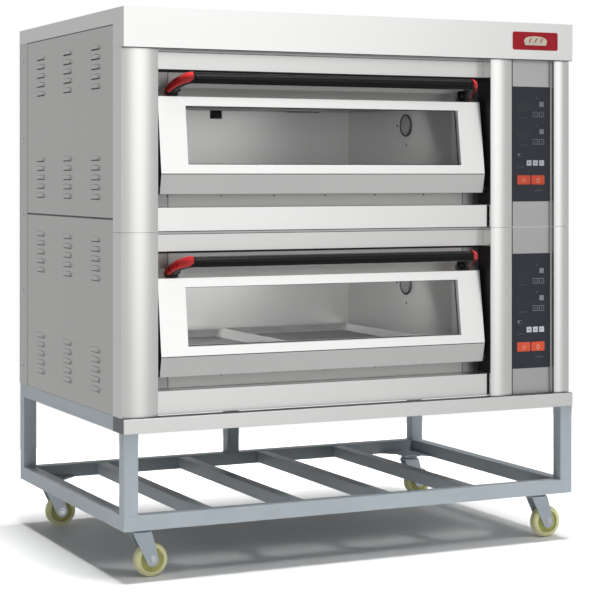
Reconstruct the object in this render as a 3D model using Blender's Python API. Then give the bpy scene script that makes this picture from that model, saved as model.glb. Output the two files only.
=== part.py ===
"""Two-deck electric deck oven on a wheeled stand, in metres, +Z up, front towards -Y.

The origin is on the floor, under the middle of the whole object. Pieces are measured from the
hood's left front corner: x to the right, y back, z up, and each deck's pieces from its own base.
"""
import math

import bmesh
import bpy
from mathutils import Matrix, Vector

WIDTH = 1.220
DEPTH = 0.820
BAR_REACH = 0.0215
SHEET = 0.002
GAP = 0.0003

DECK_BASES = {"lower": 0.378, "upper": 0.804}
DECK_HEIGHT = 0.426
HOOD_BOTTOM = 1.230
HOOD_TOP = 1.3225
SKIRT_BOTTOM = 1.286
FRONT_DEPTH = 0.0737

PILLAR_FRONT = 0.015
PANEL_FRONT = 0.031
LEFT_PILLAR_WIDTH = 0.091
NICHE_RIGHT = 0.986
PANEL_LEFT = 1.0495
PANEL_RIGHT = 1.1745

FLANGE_FRONT = 0.080
CHAMBER_LOW = (0.1285, FLANGE_FRONT, 0.096)
CHAMBER_HIGH = (0.9485, 0.733, 0.322)
VENT_X = (0.5175, 0.5535)
VENT_Z = (0.288, 0.312)
LAMP_PLACE = (0.390, 0.266)
LAMP_STEPS = ((0.031, 0.0), (0.031, 0.0025), (0.026, 0.0045), (0.012, 0.0060))
HEARTH_TOP = 0.114
HEARTH_THICK = 0.003

HEATER_HEIGHTS = {"bottom": 0.1035, "top": 0.313}
HEATER_LANES = (0.155, 0.330, 0.505, 0.680)
HEATER_TURNS = (0.200, 0.880)
HEATER_BEND = 0.030
HEATER_RADIUS = 0.004
HEATER_ENDS = (0.155, 0.275)
HEATER_END_X = 0.990
HEATER_RETURN_X = 0.926

LINTEL_BOTTOM = 0.380
LINTEL_TOP = 0.4195
LINTEL_FRONT = 0.055
FASCIA_TOP = 0.0565
FASCIA_FRONT = 0.030

DOOR_LEFT = 0.1026
DOOR_RIGHT = 0.9744
DOOR_BACK = 0.0785
DOOR_TOP_EDGE = (0.053, 0.3165)
DOOR_CREASE = (0.028, 0.136)
DOOR_CHIN = [(0.038, 0.088), (0.056, 0.088), (DOOR_BACK, 0.104)]
DOOR_OUTLINE = [(DOOR_BACK, 0.3385), DOOR_TOP_EDGE, DOOR_CREASE, *DOOR_CHIN]
DOOR_AXIS = (0.042, 0.098)
WINDOW_X = (0.171, 0.908)
WINDOW_Z = (0.157, 0.295)
GLASS_SETBACK = 0.015
PIVOT_RADIUS = 0.006
PIVOT_HOLE = 0.0068

BAR_X = (0.169, 0.908)
BAR_RADIUS = 0.013
BAR_Y = BAR_RADIUS - BAR_REACH
BAR_Z = 0.357
FOOT_Y = 0.066
FOOT_OFFSET = 0.033

KEYPAD_X = (1.054, 1.170)
KEYPAD_Z = (0.065, 0.358)
KEYPAD_THICK = 0.0025
KEY_SIZE = (0.0375, 0.0020, 0.0235)
KEY_CENTRES = {"power": 1.0903, "lamp": 1.1332}
KEY_Z = 0.1199

TRAY_SIZE = (0.400, 0.600, 0.021)
TRAYS = {"left": (0.3335, 0.400), "right": (0.7410, 0.428)}

LOUVRE_LENGTH = 0.072
LOUVRE_HEIGHT = 0.011
LOUVRE_PROUD = 0.005
LOUVRE_PITCH = 0.0232
LOUVRE_ROWS = 5
LOUVRE_COLUMNS = (0.200, 0.413, 0.634)
LOUVRE_BLOCKS = {"lower": (0.429, 0.692), "upper": (0.886, 1.148)}
SIDE_SEAM = 0.834
REAR_SLOT_X = (1.04, 1.16)
REAR_SLOT_START = 0.22
REAR_SLOT_PITCH = 0.022
REAR_SLOT_HEIGHT = 0.007
CABLE_ENTRY = (1.10, 0.470)
CABLE_RADIUS = 0.013
PANEL_INSET = 0.001

TUBE = 0.034
FRAME_INSET = 0.0015
RAIL_TOP = 0.3777
LOWER_TOP = 0.155
SLAT_WIDTH = 0.030
SLAT_CENTRES = [0.220 + 0.2385 * index for index in range(4)]
MIDDLE_LEG = 0.610

CASTERS = {
    "front_left": (0.065, 0.070),
    "front_right": (1.155, 0.070),
    "rear_left": (0.065, 0.750),
    "rear_right": (1.155, 0.750),
}
WHEEL_RADIUS = 0.040
WHEEL_WIDTH = 0.027
CASTER_TRAIL = 0.026
CROWN_BOTTOM = 0.1045
CROWN_RADIUS = 0.026
CHEEK_TOP_HALF = 0.0215
CHEEK_END_RADIUS = 0.0155
BORE_RADIUS = 0.0047
AXLE_RADIUS = 0.0040

# Finishes: base colour, roughness, metallic.
STAINLESS = ((0.66, 0.66, 0.65), 0.30, 1.0)
GALVANISED = ((0.50, 0.52, 0.53), 0.45, 0.9)
DARK_STEEL = ((0.10, 0.10, 0.11), 0.50, 0.8)
PAINT = ((0.33, 0.39, 0.43), 0.45, 0.0)
BLACK_PLASTIC = ((0.02, 0.02, 0.022), 0.35, 0.0)
RED_PLASTIC = ((0.55, 0.03, 0.03), 0.30, 0.0)
KEYPAD_FILM = ((0.030, 0.036, 0.060), 0.35, 0.0)
ORANGE_KEY = ((0.80, 0.10, 0.04), 0.40, 0.0)
CLEAR_GLASS = ((0.80, 0.85, 0.85), 0.05, 0.0)
LAMP_GLASS = ((0.60, 0.60, 0.56), 0.25, 0.0)
HEATER_STEEL = ((0.16, 0.15, 0.14), 0.55, 0.8)
ALUMINIUM = ((0.75, 0.75, 0.74), 0.35, 1.0)
ZINC = ((0.58, 0.62, 0.65), 0.35, 1.0)
YELLOW_WHEEL = ((0.72, 0.68, 0.30), 0.45, 0.0)


def clear_scene():
    for item in list(bpy.data.objects):
        bpy.data.objects.remove(item, do_unlink=True)


def add_empty(name, location, parent=None):
    empty = bpy.data.objects.new(name, None)
    bpy.context.scene.collection.objects.link(empty)
    empty.location = location
    empty.parent = parent
    return empty


def surface(name, finish):
    colour, roughness, metallic = finish
    material = bpy.data.materials.new(name + "_finish")
    material.use_nodes = True
    shader = material.node_tree.nodes["Principled BSDF"]
    shader.inputs["Base Color"].default_value = (*colour, 1.0)
    shader.inputs["Roughness"].default_value = roughness
    shader.inputs["Metallic"].default_value = metallic
    return material


def make_mesh(name, shape, origin):
    """Mesh of the bmesh shape, moved so that origin becomes its own zero."""
    bmesh.ops.translate(shape, vec=-Vector(origin), verts=shape.verts)
    bmesh.ops.recalc_face_normals(shape, faces=shape.faces)
    mesh = bpy.data.meshes.new(name)
    shape.to_mesh(mesh)
    shape.free()
    return mesh


def add_piece(name, shape, finish, parent, origin=(0.0, 0.0, 0.0), smooth=False):
    """Named piece whose mesh is measured in parent's frame and whose own origin is at origin there."""
    mesh = make_mesh(name, shape, origin)
    mesh.materials.append(surface(name, finish))
    if smooth:
        mesh.shade_smooth()
        mesh.set_sharp_from_angle(angle=math.radians(35))
    piece = bpy.data.objects.new(name, mesh)
    bpy.context.scene.collection.objects.link(piece)
    piece.parent = parent
    piece.location = origin
    return piece


def combine(piece, shape, operation):
    """Boolean of piece with shape, which is measured in the same frame as piece's mesh was."""
    name = piece.name + "_tool"
    cutter = bpy.data.objects.new(name, make_mesh(name, shape, piece.location))
    bpy.context.scene.collection.objects.link(cutter)
    cutter.parent = piece.parent
    cutter.location = piece.location
    cutter.hide_render = True
    cutter.display_type = "WIRE"
    boolean = piece.modifiers.new(operation.lower(), "BOOLEAN")
    boolean.operation = operation
    boolean.solver = "EXACT"
    boolean.object = cutter


def add_box(shape, low, high):
    size = [top - bottom for bottom, top in zip(low, high)]
    centre = [(top + bottom) / 2 for bottom, top in zip(low, high)]
    place = Matrix.Translation(centre) @ Matrix.Diagonal((*size, 1.0))
    bmesh.ops.create_cube(shape, size=1.0, matrix=place)


def box(low, high):
    shape = bmesh.new()
    add_box(shape, low, high)
    return shape


def add_prism(shape, outline, axis, start, end):
    """Closed prism of an outline in the plane across axis, from start to end along it."""
    def point(first, second, along):
        return {"X": (along, first, second), "Y": (first, along, second), "Z": (first, second, along)}[axis]

    near = [shape.verts.new(point(*corner, start)) for corner in outline]
    far = [shape.verts.new(point(*corner, end)) for corner in outline]
    shape.faces.new(near)
    shape.faces.new(list(reversed(far)))
    for index, vertex in enumerate(near):
        shape.faces.new((near[index - 1], far[index - 1], far[index], vertex))


def prism(outline, axis, start, end):
    shape = bmesh.new()
    add_prism(shape, outline, axis, start, end)
    return shape


def circle(centre, radius, sides, turn=0.5):
    """Points of a regular polygon; turn is the first corner's angle in steps."""
    points = []
    for index in range(sides):
        angle = 2 * math.pi * (index + turn) / sides
        points.append((centre[0] + radius * math.cos(angle), centre[1] + radius * math.sin(angle)))
    return points


def strip(path, thickness):
    """Closed outline of sheet metal bent along path, its thickness on the left of the path."""
    points = [Vector(point) for point in path]
    normals = []
    for start, end in zip(points, points[1:]):
        run = (end - start).normalized()
        normals.append(Vector((-run.y, run.x)))
    inner = []
    for index, point in enumerate(points):
        before = normals[max(index - 1, 0)]
        after = normals[min(index, len(normals) - 1)]
        mitre = (before + after).normalized()
        inner.append(point + mitre * (thickness / mitre.dot(after)))
    return [tuple(point) for point in points] + [tuple(point) for point in reversed(inner)]


def bowed(start_x, end_x, front, bow, steps=6):
    """Points of a shallow arc across a pillar, its middle at front and its ends bow further back."""
    points = []
    for index in range(steps + 1):
        share = index / steps
        points.append((start_x + (end_x - start_x) * share, front + bow * (2 * share - 1) ** 2))
    return points


def inset(outline, distance):
    """The outline moved inwards by distance, for corners listed anticlockwise or clockwise."""
    points = [Vector(point) for point in outline]
    area = sum(a.x * b.y - b.x * a.y for a, b in zip(points, points[1:] + points[:1]))
    side = 1.0 if area > 0 else -1.0
    moved = []
    for index, point in enumerate(points):
        before = (point - points[index - 1]).normalized()
        after = (points[(index + 1) % len(points)] - point).normalized()
        first = Vector((-before.y, before.x)) * side
        second = Vector((-after.y, after.x)) * side
        mitre = (first + second).normalized()
        moved.append(tuple(point + mitre * (distance / mitre.dot(second))))
    return moved


def add_loft(shape, rings):
    """Closed body through rings of points that all have the same count."""
    loops = [[shape.verts.new(point) for point in ring] for ring in rings]
    for first, second in zip(loops, loops[1:]):
        for index in range(len(first)):
            shape.faces.new((first[index - 1], first[index], second[index], second[index - 1]))
    shape.faces.new(list(reversed(loops[0])))
    shape.faces.new(loops[-1])


def face_y(height, setback):
    """Depth of the plane that lies setback behind the door's sloping face, at a height."""
    (top_y, top_z), (low_y, low_z) = DOOR_TOP_EDGE, DOOR_CREASE
    slope = (top_y - low_y) / (top_z - low_z)
    return low_y + slope * (height - low_z) + setback * math.hypot(1.0, slope)


def build_hood(corner):
    hood = add_piece("top_hood", box((0, 0, HOOD_BOTTOM), (WIDTH, DEPTH, HOOD_TOP)), STAINLESS, corner)
    inside_low = (SHEET, SHEET, HOOD_BOTTOM + SHEET)
    inside_high = (WIDTH - SHEET, DEPTH - SHEET, HOOD_TOP - SHEET)
    combine(hood, box(inside_low, inside_high), "DIFFERENCE")
    cut_low = (-SHEET, FRONT_DEPTH, HOOD_BOTTOM - SHEET)
    combine(hood, box(cut_low, (WIDTH + SHEET, DEPTH + SHEET, SKIRT_BOTTOM)), "DIFFERENCE")


def add_gill(shape, wall, outward, centre_y, lip_z):
    """One louvre: a hipped scoop that stands out from wall and is cut off flat at its lip."""
    half = LOUVRE_LENGTH / 2
    tip = wall + outward * LOUVRE_PROUD
    root = wall - outward * SHEET / 2
    lip_half, top_half = half - 0.008, half - 0.004
    top_z = lip_z + LOUVRE_HEIGHT
    lip = [(root, -half, lip_z), (tip, -lip_half, lip_z), (tip, lip_half, lip_z), (root, half, lip_z)]
    top = [(root, -top_half, top_z), (root, top_half, top_z)]
    corners = [shape.verts.new((x, centre_y + y, z)) for x, y, z in lip + top]
    for face in ((0, 1, 2, 3), (0, 4, 1), (1, 4, 5, 2), (2, 5, 3), (3, 5, 4, 0)):
        shape.faces.new([corners[index] for index in face])


def add_gill_mouth(shape, wall, outward, centre_y, lip_z):
    """Cutter that opens the underside of a louvre and the panel behind it."""
    half = LOUVRE_LENGTH / 2 - 0.010
    outline = [
        (wall - outward * 2 * SHEET, lip_z - 0.001),
        (wall + outward * (LOUVRE_PROUD - 0.001), lip_z - 0.001),
        (wall + outward * (LOUVRE_PROUD - 0.001), lip_z + 0.0008),
        (wall - outward * 2 * SHEET, lip_z + 0.006),
    ]
    add_prism(shape, outline, "Y", centre_y - half, centre_y + half)


def build_side_panel(corner, side, deck):
    low_z = DECK_BASES["lower"] + GAP if deck == "lower" else SIDE_SEAM + GAP
    high_z = SIDE_SEAM - GAP if deck == "lower" else SKIRT_BOTTOM - GAP
    outer = PANEL_INSET if side == "left" else WIDTH - PANEL_INSET
    outward = -1 if side == "left" else 1
    inner = outer - outward * SHEET
    span_y = (FRONT_DEPTH + GAP, 0.7497)
    sheet = box((min(outer, inner), span_y[0], low_z), (max(outer, inner), span_y[1], high_z))
    panel = add_piece(f"side_panel_{side}_{deck}", sheet, STAINLESS, corner)
    gills = bmesh.new()
    mouths = bmesh.new()
    for block_z in LOUVRE_BLOCKS[deck]:
        for row in range(LOUVRE_ROWS):
            for centre_y in LOUVRE_COLUMNS:
                lip_z = block_z + row * LOUVRE_PITCH - LOUVRE_HEIGHT / 2
                add_gill(gills, outer, outward, centre_y, lip_z)
                add_gill_mouth(mouths, outer, outward, centre_y, lip_z)
    combine(panel, gills, "UNION")
    combine(panel, mouths, "DIFFERENCE")


def build_rear_cover(corner):
    back = DEPTH - 0.0005
    path = [(WIDTH, 0.750), (WIDTH, back), (0, back), (0, 0.750)]
    shell = prism(strip(path, SHEET), "Z", RAIL_TOP + GAP, SKIRT_BOTTOM - GAP)
    cover = add_piece("rear_cover", shell, STAINLESS, corner)
    openings = bmesh.new()
    for base in DECK_BASES.values():
        for row in range(6):
            slot_z = base + REAR_SLOT_START + row * REAR_SLOT_PITCH
            slot_low = (REAR_SLOT_X[0], back - 0.01, slot_z)
            add_box(openings, slot_low, (REAR_SLOT_X[1], back + 0.01, slot_z + REAR_SLOT_HEIGHT))
    add_prism(openings, circle(CABLE_ENTRY, CABLE_RADIUS, 16), "Y", back - 0.01, back + 0.01)
    combine(cover, openings, "DIFFERENCE")


def build_casing(corner):
    """Insulated casing: one block with a pocket round each chamber and a floor under the controls."""
    right = NICHE_RIGHT - 0.004
    front = FLANGE_FRONT + 0.0025
    rear = DEPTH - 0.0035
    floor = DECK_BASES["lower"] + 0.0005
    block = box((0.0045, front, floor), (right, rear, HOOD_TOP - 0.0045))
    casing = add_piece("insulated_casing", block, GALVANISED, corner)
    tongue = box((right - 0.01, front, floor), (WIDTH - 0.0035, rear, floor + 0.003))
    combine(casing, tongue, "UNION")
    pockets = bmesh.new()
    margin = SHEET + GAP
    for base in DECK_BASES.values():
        low = (CHAMBER_LOW[0] - margin, front - 0.01, base + CHAMBER_LOW[2] - margin)
        high = (CHAMBER_HIGH[0] + margin, CHAMBER_HIGH[1] + margin, base + CHAMBER_HIGH[2] + margin)
        add_box(pockets, low, high)
    combine(casing, pockets, "DIFFERENCE")
    tunnels = bmesh.new()
    for base in DECK_BASES.values():
        for height in HEATER_HEIGHTS.values():
            tunnel_low = (CHAMBER_HIGH[0], HEATER_ENDS[0] - 0.015, base + height - 0.007)
            add_box(tunnels, tunnel_low, (right + 0.01, HEATER_ENDS[1] + 0.015, base + height + 0.007))
    combine(casing, tunnels, "DIFFERENCE")


def build_pillar(deck, base, top):
    bow = 0.005
    front = bowed(0, LEFT_PILLAR_WIDTH, PILLAR_FRONT, bow)
    path = [(0, FRONT_DEPTH), *front, (LEFT_PILLAR_WIDTH, DOOR_BACK)]
    pillar = add_piece(f"{deck}_left_pillar", prism(strip(path, SHEET), "Z", GAP, top), STAINLESS, base)
    round_hole = circle(DOOR_AXIS, PIVOT_HOLE, 16)
    hole = prism(round_hole, "X", LEFT_PILLAR_WIDTH - 0.01, LEFT_PILLAR_WIDTH + 0.01)
    combine(pillar, hole, "DIFFERENCE")


def build_control_column(deck, base, top):
    middle = bowed(NICHE_RIGHT, PANEL_LEFT, PILLAR_FRONT, 0.0035)
    outer = bowed(PANEL_RIGHT, WIDTH, PILLAR_FRONT, 0.003)
    recess = [(PANEL_LEFT, PANEL_FRONT), (PANEL_RIGHT, PANEL_FRONT)]
    path = [(NICHE_RIGHT, DOOR_BACK), *middle, *recess, *outer, (WIDTH, FRONT_DEPTH)]
    column = add_piece(f"{deck}_control_column", prism(strip(path, SHEET), "Z", GAP, top), STAINLESS, base)
    openings = prism(circle(DOOR_AXIS, PIVOT_HOLE, 16), "X", NICHE_RIGHT - 0.01, NICHE_RIGHT + 0.01)
    margin = 0.008
    low = (KEYPAD_X[0] + margin, PANEL_FRONT - 0.01, KEYPAD_Z[0] + margin)
    high = (KEYPAD_X[1] - margin, PANEL_FRONT + 0.01, KEYPAD_Z[1] - margin)
    add_box(openings, low, high)
    combine(column, openings, "DIFFERENCE")


def build_control_unit(deck, base):
    """Keypad plate with its electronics box behind it, and two keys that press into the plate."""
    plate_back = PANEL_FRONT - GAP
    plate_front = plate_back - KEYPAD_THICK
    plate = box((KEYPAD_X[0], plate_front, KEYPAD_Z[0]), (KEYPAD_X[1], plate_back, KEYPAD_Z[1]))
    unit = add_piece(f"{deck}_control_unit", plate, KEYPAD_FILM, base)
    housing_low = (KEYPAD_X[0] + 0.0085, plate_back - 0.001, KEYPAD_Z[0] + 0.0085)
    housing_high = (KEYPAD_X[1] - 0.0085, PANEL_FRONT + 0.045, KEYPAD_Z[1] - 0.0085)
    combine(unit, box(housing_low, housing_high), "UNION")
    wells = bmesh.new()
    width, thick, height = KEY_SIZE
    for centre in KEY_CENTRES.values():
        reach_x, reach_z = width / 2 + 0.0004, height / 2 + 0.0004
        low = (centre - reach_x, plate_front - 0.001, KEY_Z - reach_z)
        add_box(wells, low, (centre + reach_x, plate_front + 0.0024, KEY_Z + reach_z))
    combine(unit, wells, "DIFFERENCE")
    key_front = plate_front - 0.001
    for use, centre in KEY_CENTRES.items():
        low = (centre - width / 2, key_front, KEY_Z - height / 2)
        key = box(low, (centre + width / 2, key_front + thick, KEY_Z + height / 2))
        add_piece(f"{deck}_{use}_key", key, ORANGE_KEY, base, (centre, key_front, KEY_Z))


def build_front_sheets(deck, base):
    back = FLANGE_FRONT - GAP
    left = LEFT_PILLAR_WIDTH + GAP
    lintel = [(back, LINTEL_TOP), (LINTEL_FRONT, LINTEL_TOP)]
    lintel += [(LINTEL_FRONT, LINTEL_BOTTOM), (back, LINTEL_BOTTOM)]
    shape = prism(strip(lintel, SHEET), "X", left, NICHE_RIGHT - GAP)
    add_piece(f"{deck}_lintel", shape, STAINLESS, base)
    fascia = [(back, FASCIA_TOP), (FASCIA_FRONT, FASCIA_TOP), (FASCIA_FRONT, 0.002), (back, 0.002)]
    shape = prism(strip(fascia, SHEET), "X", left, NICHE_RIGHT - 0.004)
    add_piece(f"{deck}_fascia", shape, STAINLESS, base)


def build_chamber(deck, base):
    """Chamber liner with its front flange, steam vent and heater holes."""
    low = [value - SHEET for value in CHAMBER_LOW]
    high = [value + SHEET for value in CHAMBER_HIGH]
    low[1] = FLANGE_FRONT
    liner = add_piece(f"{deck}_chamber_liner", box(low, high), STAINLESS, base)
    flange_low = (LEFT_PILLAR_WIDTH + 0.0005, FLANGE_FRONT, FASCIA_TOP + 0.0005)
    flange = box(flange_low, (NICHE_RIGHT - 0.0005, FLANGE_FRONT + SHEET, LINTEL_BOTTOM - 0.0005))
    combine(liner, flange, "UNION")
    hollow = box((CHAMBER_LOW[0], FLANGE_FRONT - 0.01, CHAMBER_LOW[2]), CHAMBER_HIGH)
    combine(liner, hollow, "DIFFERENCE")
    vent_low = (VENT_X[0], CHAMBER_HIGH[1] - 0.01, VENT_Z[0])
    openings = box(vent_low, (VENT_X[1], CHAMBER_HIGH[1] + 0.01, VENT_Z[1]))
    wall_x = CHAMBER_HIGH[0]
    for height in HEATER_HEIGHTS.values():
        for depth in HEATER_ENDS:
            hole = circle((depth, height), HEATER_RADIUS + 0.0012, 8)
            add_prism(openings, hole, "X", wall_x - 0.01, wall_x + 0.01)
    combine(liner, openings, "DIFFERENCE")
    build_hearth(deck, base)
    build_lamp_cover(deck, base)


def build_hearth(deck, base):
    """Hearth plate folded down at both sides, with a notch where the bottom heating tube passes."""
    foot_z = CHAMBER_LOW[2] + 0.0005
    left, right = CHAMBER_LOW[0] + HEARTH_THICK, CHAMBER_HIGH[0] - HEARTH_THICK
    path = [(right, foot_z), (right, HEARTH_TOP), (left, HEARTH_TOP), (left, foot_z)]
    hearth = prism(strip(path, HEARTH_THICK), "Y", FLANGE_FRONT + 0.0035, CHAMBER_HIGH[1] - 0.003)
    plate = add_piece(f"{deck}_hearth_plate", hearth, DARK_STEEL, base)
    notch_low = (right - 0.0055, HEATER_ENDS[0] - 0.007, foot_z - 0.0065)
    notch_high = (right + 0.0045, HEATER_ENDS[1] + 0.007, HEATER_HEIGHTS["bottom"] + 0.0057)
    combine(plate, box(notch_low, notch_high), "DIFFERENCE")


def build_lamp_cover(deck, base):
    inner_wall = CHAMBER_HIGH[0] - GAP
    cover = bmesh.new()
    rings = []
    for radius, proud in LAMP_STEPS:
        rings.append([(inner_wall - proud, y, z) for y, z in circle(LAMP_PLACE, radius, 20)])
    add_loft(cover, rings)
    origin = (inner_wall, *LAMP_PLACE)
    add_piece(f"{deck}_lamp_cover", cover, LAMP_GLASS, base, origin, smooth=True)


def serpentine(height):
    """Centre line of a heating tube from the right wall: four passes joined by round bends."""
    left_turn, right_turn = HEATER_TURNS
    points = [(HEATER_END_X, HEATER_LANES[0], height)]
    for index, lane in enumerate(HEATER_LANES[1:], start=1):
        turn_x = left_turn if index % 2 else right_turn
        outward = -1 if index % 2 else 1
        corners = ((HEATER_LANES[index - 1] + HEATER_BEND, -90, 0), (lane - HEATER_BEND, 0, 90))
        for corner_y, first, last in corners:
            for step in range(4):
                angle = math.radians(first + (last - first) * step / 3)
                x = turn_x + outward * HEATER_BEND * math.cos(angle)
                points.append((x, corner_y + HEATER_BEND * math.sin(angle), height))
    return points


def return_run(height):
    """Centre line from the last pass forwards along the right wall and out through it."""
    end_y = HEATER_ENDS[1]
    x = HEATER_RETURN_X
    last_lane = HEATER_LANES[-1]
    points = [(x - 0.036, last_lane, height), (x - 0.012, last_lane - 0.010, height)]
    points += [(x, last_lane - 0.034, height), (x, end_y + 0.024, height)]
    points += [(x + 0.004, end_y + 0.010, height), (x + 0.0145, end_y + 0.001, height)]
    return points + [(HEATER_END_X, end_y, height)]


def tube_piece(name, points, radius, finish, parent):
    curve = bpy.data.curves.new(name, "CURVE")
    curve.dimensions = "3D"
    curve.bevel_depth = radius
    curve.bevel_resolution = 1
    curve.use_fill_caps = True
    curve.materials.append(surface(name, finish))
    spline = curve.splines.new("POLY")
    spline.points.add(len(points) - 1)
    for target, point in zip(spline.points, points):
        target.co = (*point, 1.0)
    piece = bpy.data.objects.new(name, curve)
    bpy.context.scene.collection.objects.link(piece)
    piece.parent = parent


def build_heaters(deck, base):
    for place, height in HEATER_HEIGHTS.items():
        points = serpentine(height) + return_run(height)
        tube_piece(f"{deck}_{place}_heater", points, HEATER_RADIUS, HEATER_STEEL, base)


def build_door(deck, base):
    """Door that hinges at its lower edge: shell, inner frame, glass, bar and two end brackets."""
    hinge = add_empty(f"{deck}_door_hinge", (0, *DOOR_AXIS), base)
    local = [(y - DOOR_AXIS[0], z - DOOR_AXIS[1]) for y, z in DOOR_OUTLINE]
    shell = add_piece(f"{deck}_door_shell", prism(local, "X", DOOR_LEFT, DOOR_RIGHT), STAINLESS, hinge)
    top_run = (Vector(DOOR_OUTLINE[0]) - Vector(DOOR_OUTLINE[1])).normalized() * 0.012
    low_run = (Vector(DOOR_OUTLINE[5]) - Vector(DOOR_OUTLINE[4])).normalized() * 0.012
    stretched = list(local)
    stretched[0] = tuple(Vector(local[0]) + top_run)
    stretched[5] = tuple(Vector(local[5]) + low_run)
    combine(shell, prism(inset(stretched, SHEET), "X", DOOR_LEFT + SHEET, DOOR_RIGHT - SHEET), "DIFFERENCE")
    window_low = (WINDOW_X[0], -DOOR_AXIS[0] - 0.02, WINDOW_Z[0] - DOOR_AXIS[1])
    combine(shell, box(window_low, (WINDOW_X[1], 0.020, WINDOW_Z[1] - DOOR_AXIS[1])), "DIFFERENCE")
    stubs = prism(circle((0, 0), PIVOT_RADIUS, 12), "X", LEFT_PILLAR_WIDTH - 0.004, DOOR_LEFT + SHEET / 2)
    add_prism(stubs, circle((0, 0), PIVOT_RADIUS, 12), "X", DOOR_RIGHT - SHEET / 2, NICHE_RIGHT + 0.004)
    combine(shell, stubs, "UNION")
    build_door_lining(deck, hinge)
    build_handle(deck, hinge)


def build_door_lining(deck, hinge):
    axis_y, axis_z = DOOR_AXIS
    side_gap = SHEET + 0.0006
    plate_low = (DOOR_LEFT + side_gap, DOOR_BACK - SHEET - axis_y, 0.1085 - axis_z)
    plate_high = (DOOR_RIGHT - side_gap, DOOR_BACK - axis_y, 0.3330 - axis_z)
    lining = add_piece(f"{deck}_door_inner_frame", box(plate_low, plate_high), DARK_STEEL, hinge)
    wall = 0.008
    low_z, high_z = WINDOW_Z[0] - wall, WINDOW_Z[1] + wall
    rear = DOOR_BACK - SHEET / 2
    low_y, high_y = face_y(low_z, SHEET + 0.0005), face_y(high_z, SHEET + 0.0005)
    collar = [(low_y, low_z), (rear, low_z), (rear, high_z), (high_y, high_z)]
    collar = [(y - axis_y, z - axis_z) for y, z in collar]
    combine(lining, prism(collar, "X", WINDOW_X[0] - wall, WINDOW_X[1] + wall), "UNION")
    hole_low = (WINDOW_X[0], -0.03, WINDOW_Z[0] - axis_z)
    combine(lining, box(hole_low, (WINDOW_X[1], 0.05, WINDOW_Z[1] - axis_z)), "DIFFERENCE")
    low_z, high_z = WINDOW_Z[0] + GAP, WINDOW_Z[1] - GAP
    front, rear = GLASS_SETBACK, GLASS_SETBACK + 0.004
    pane = [(face_y(low_z, front), low_z), (face_y(low_z, rear), low_z)]
    pane += [(face_y(high_z, rear), high_z), (face_y(high_z, front), high_z)]
    pane = [(y - axis_y, z - axis_z) for y, z in pane]
    shape = prism(pane, "X", WINDOW_X[0] + GAP, WINDOW_X[1] - GAP)
    add_piece(f"{deck}_door_glass", shape, CLEAR_GLASS, hinge)


def bezier(points, share):
    keep = 1 - share
    weights = (keep ** 3, 3 * keep ** 2 * share, 3 * keep * share ** 2, share ** 3)
    return sum((Vector(point) * weight for point, weight in zip(points, weights)), Vector((0, 0, 0)))


def bracket_shape(bar_end, outward):
    """Bent arm from the end of the bar, outwards, back and down to its foot on the door's top slope."""
    slope = (Vector(DOOR_OUTLINE[0]) - Vector(DOOR_TOP_EDGE)).normalized()
    up = Vector((0, -slope.y, slope.x))
    foot_z = DOOR_TOP_EDGE[1] + (FOOT_Y - DOOR_TOP_EDGE[0]) * slope.y / slope.x
    foot = Vector((bar_end + outward * FOOT_OFFSET, FOOT_Y, foot_z)) + up * GAP
    start = Vector((bar_end + outward * GAP, BAR_Y, BAR_Z))
    control = [start, start + Vector((outward * 0.028, 0, 0)), foot + up * 0.034, foot]
    rings = []
    steps = 8
    for index in range(steps + 1):
        share = index / steps
        centre = bezier(control, share)
        run = bezier(control, min(share + 0.01, 1)) - bezier(control, max(share - 0.01, 0))
        run = {0: Vector((outward, 0, 0)), steps: -up}.get(index, run.normalized())
        across = run.cross(Vector((0, -up.z, up.y))).normalized()
        other = run.cross(across)
        radius = 0.0130 - 0.0025 * share
        rings.append([centre + across * a + other * b for a, b in circle((0, 0), radius, 10)])
    shape = bmesh.new()
    add_loft(shape, rings)
    bmesh.ops.translate(shape, vec=(0, -DOOR_AXIS[0], -DOOR_AXIS[1]), verts=shape.verts)
    return shape


def build_handle(deck, hinge):
    centre = (BAR_Y - DOOR_AXIS[0], BAR_Z - DOOR_AXIS[1])
    bar = prism(circle(centre, BAR_RADIUS, 20, turn=0), "X", *BAR_X)
    add_piece(f"{deck}_handle_bar", bar, BLACK_PLASTIC, hinge, smooth=True)
    for side, bar_end, outward in (("left", BAR_X[0], -1), ("right", BAR_X[1], 1)):
        shape = bracket_shape(bar_end, outward)
        add_piece(f"{deck}_handle_bracket_{side}", shape, RED_PLASTIC, hinge, smooth=True)


def rounded_rectangle(width, depth, radius, height, corner_steps=3):
    points = []
    for quarter in range(4):
        sign_x = (1, -1, -1, 1)[quarter]
        sign_y = (1, 1, -1, -1)[quarter]
        for step in range(corner_steps + 1):
            angle = math.radians(90 * (quarter + step / corner_steps))
            x = sign_x * (width / 2 - radius) + radius * math.cos(angle)
            y = sign_y * (depth / 2 - radius) + radius * math.sin(angle)
            points.append((x, y, height))
    return points


def build_tray(side, base):
    centre_x, centre_y = TRAYS[side]
    width, depth, height = TRAY_SIZE
    wall = 0.0015
    sections = [
        (-0.016, 0.0), (-0.004, height - 0.005), (0.0, height - 0.005), (0.0, height),
        (-0.006 - wall, height), (-0.016 - wall, wall),
    ]
    rings = [rounded_rectangle(width + 2 * grow, depth + 2 * grow, 0.030 + grow, z) for grow, z in sections]
    shape = bmesh.new()
    add_loft(shape, rings)
    seat = 0.114 + GAP
    bmesh.ops.translate(shape, vec=(centre_x, centre_y, seat), verts=shape.verts)
    add_piece(f"baking_tray_{side}", shape, ALUMINIUM, base, (centre_x, centre_y, seat))


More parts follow.
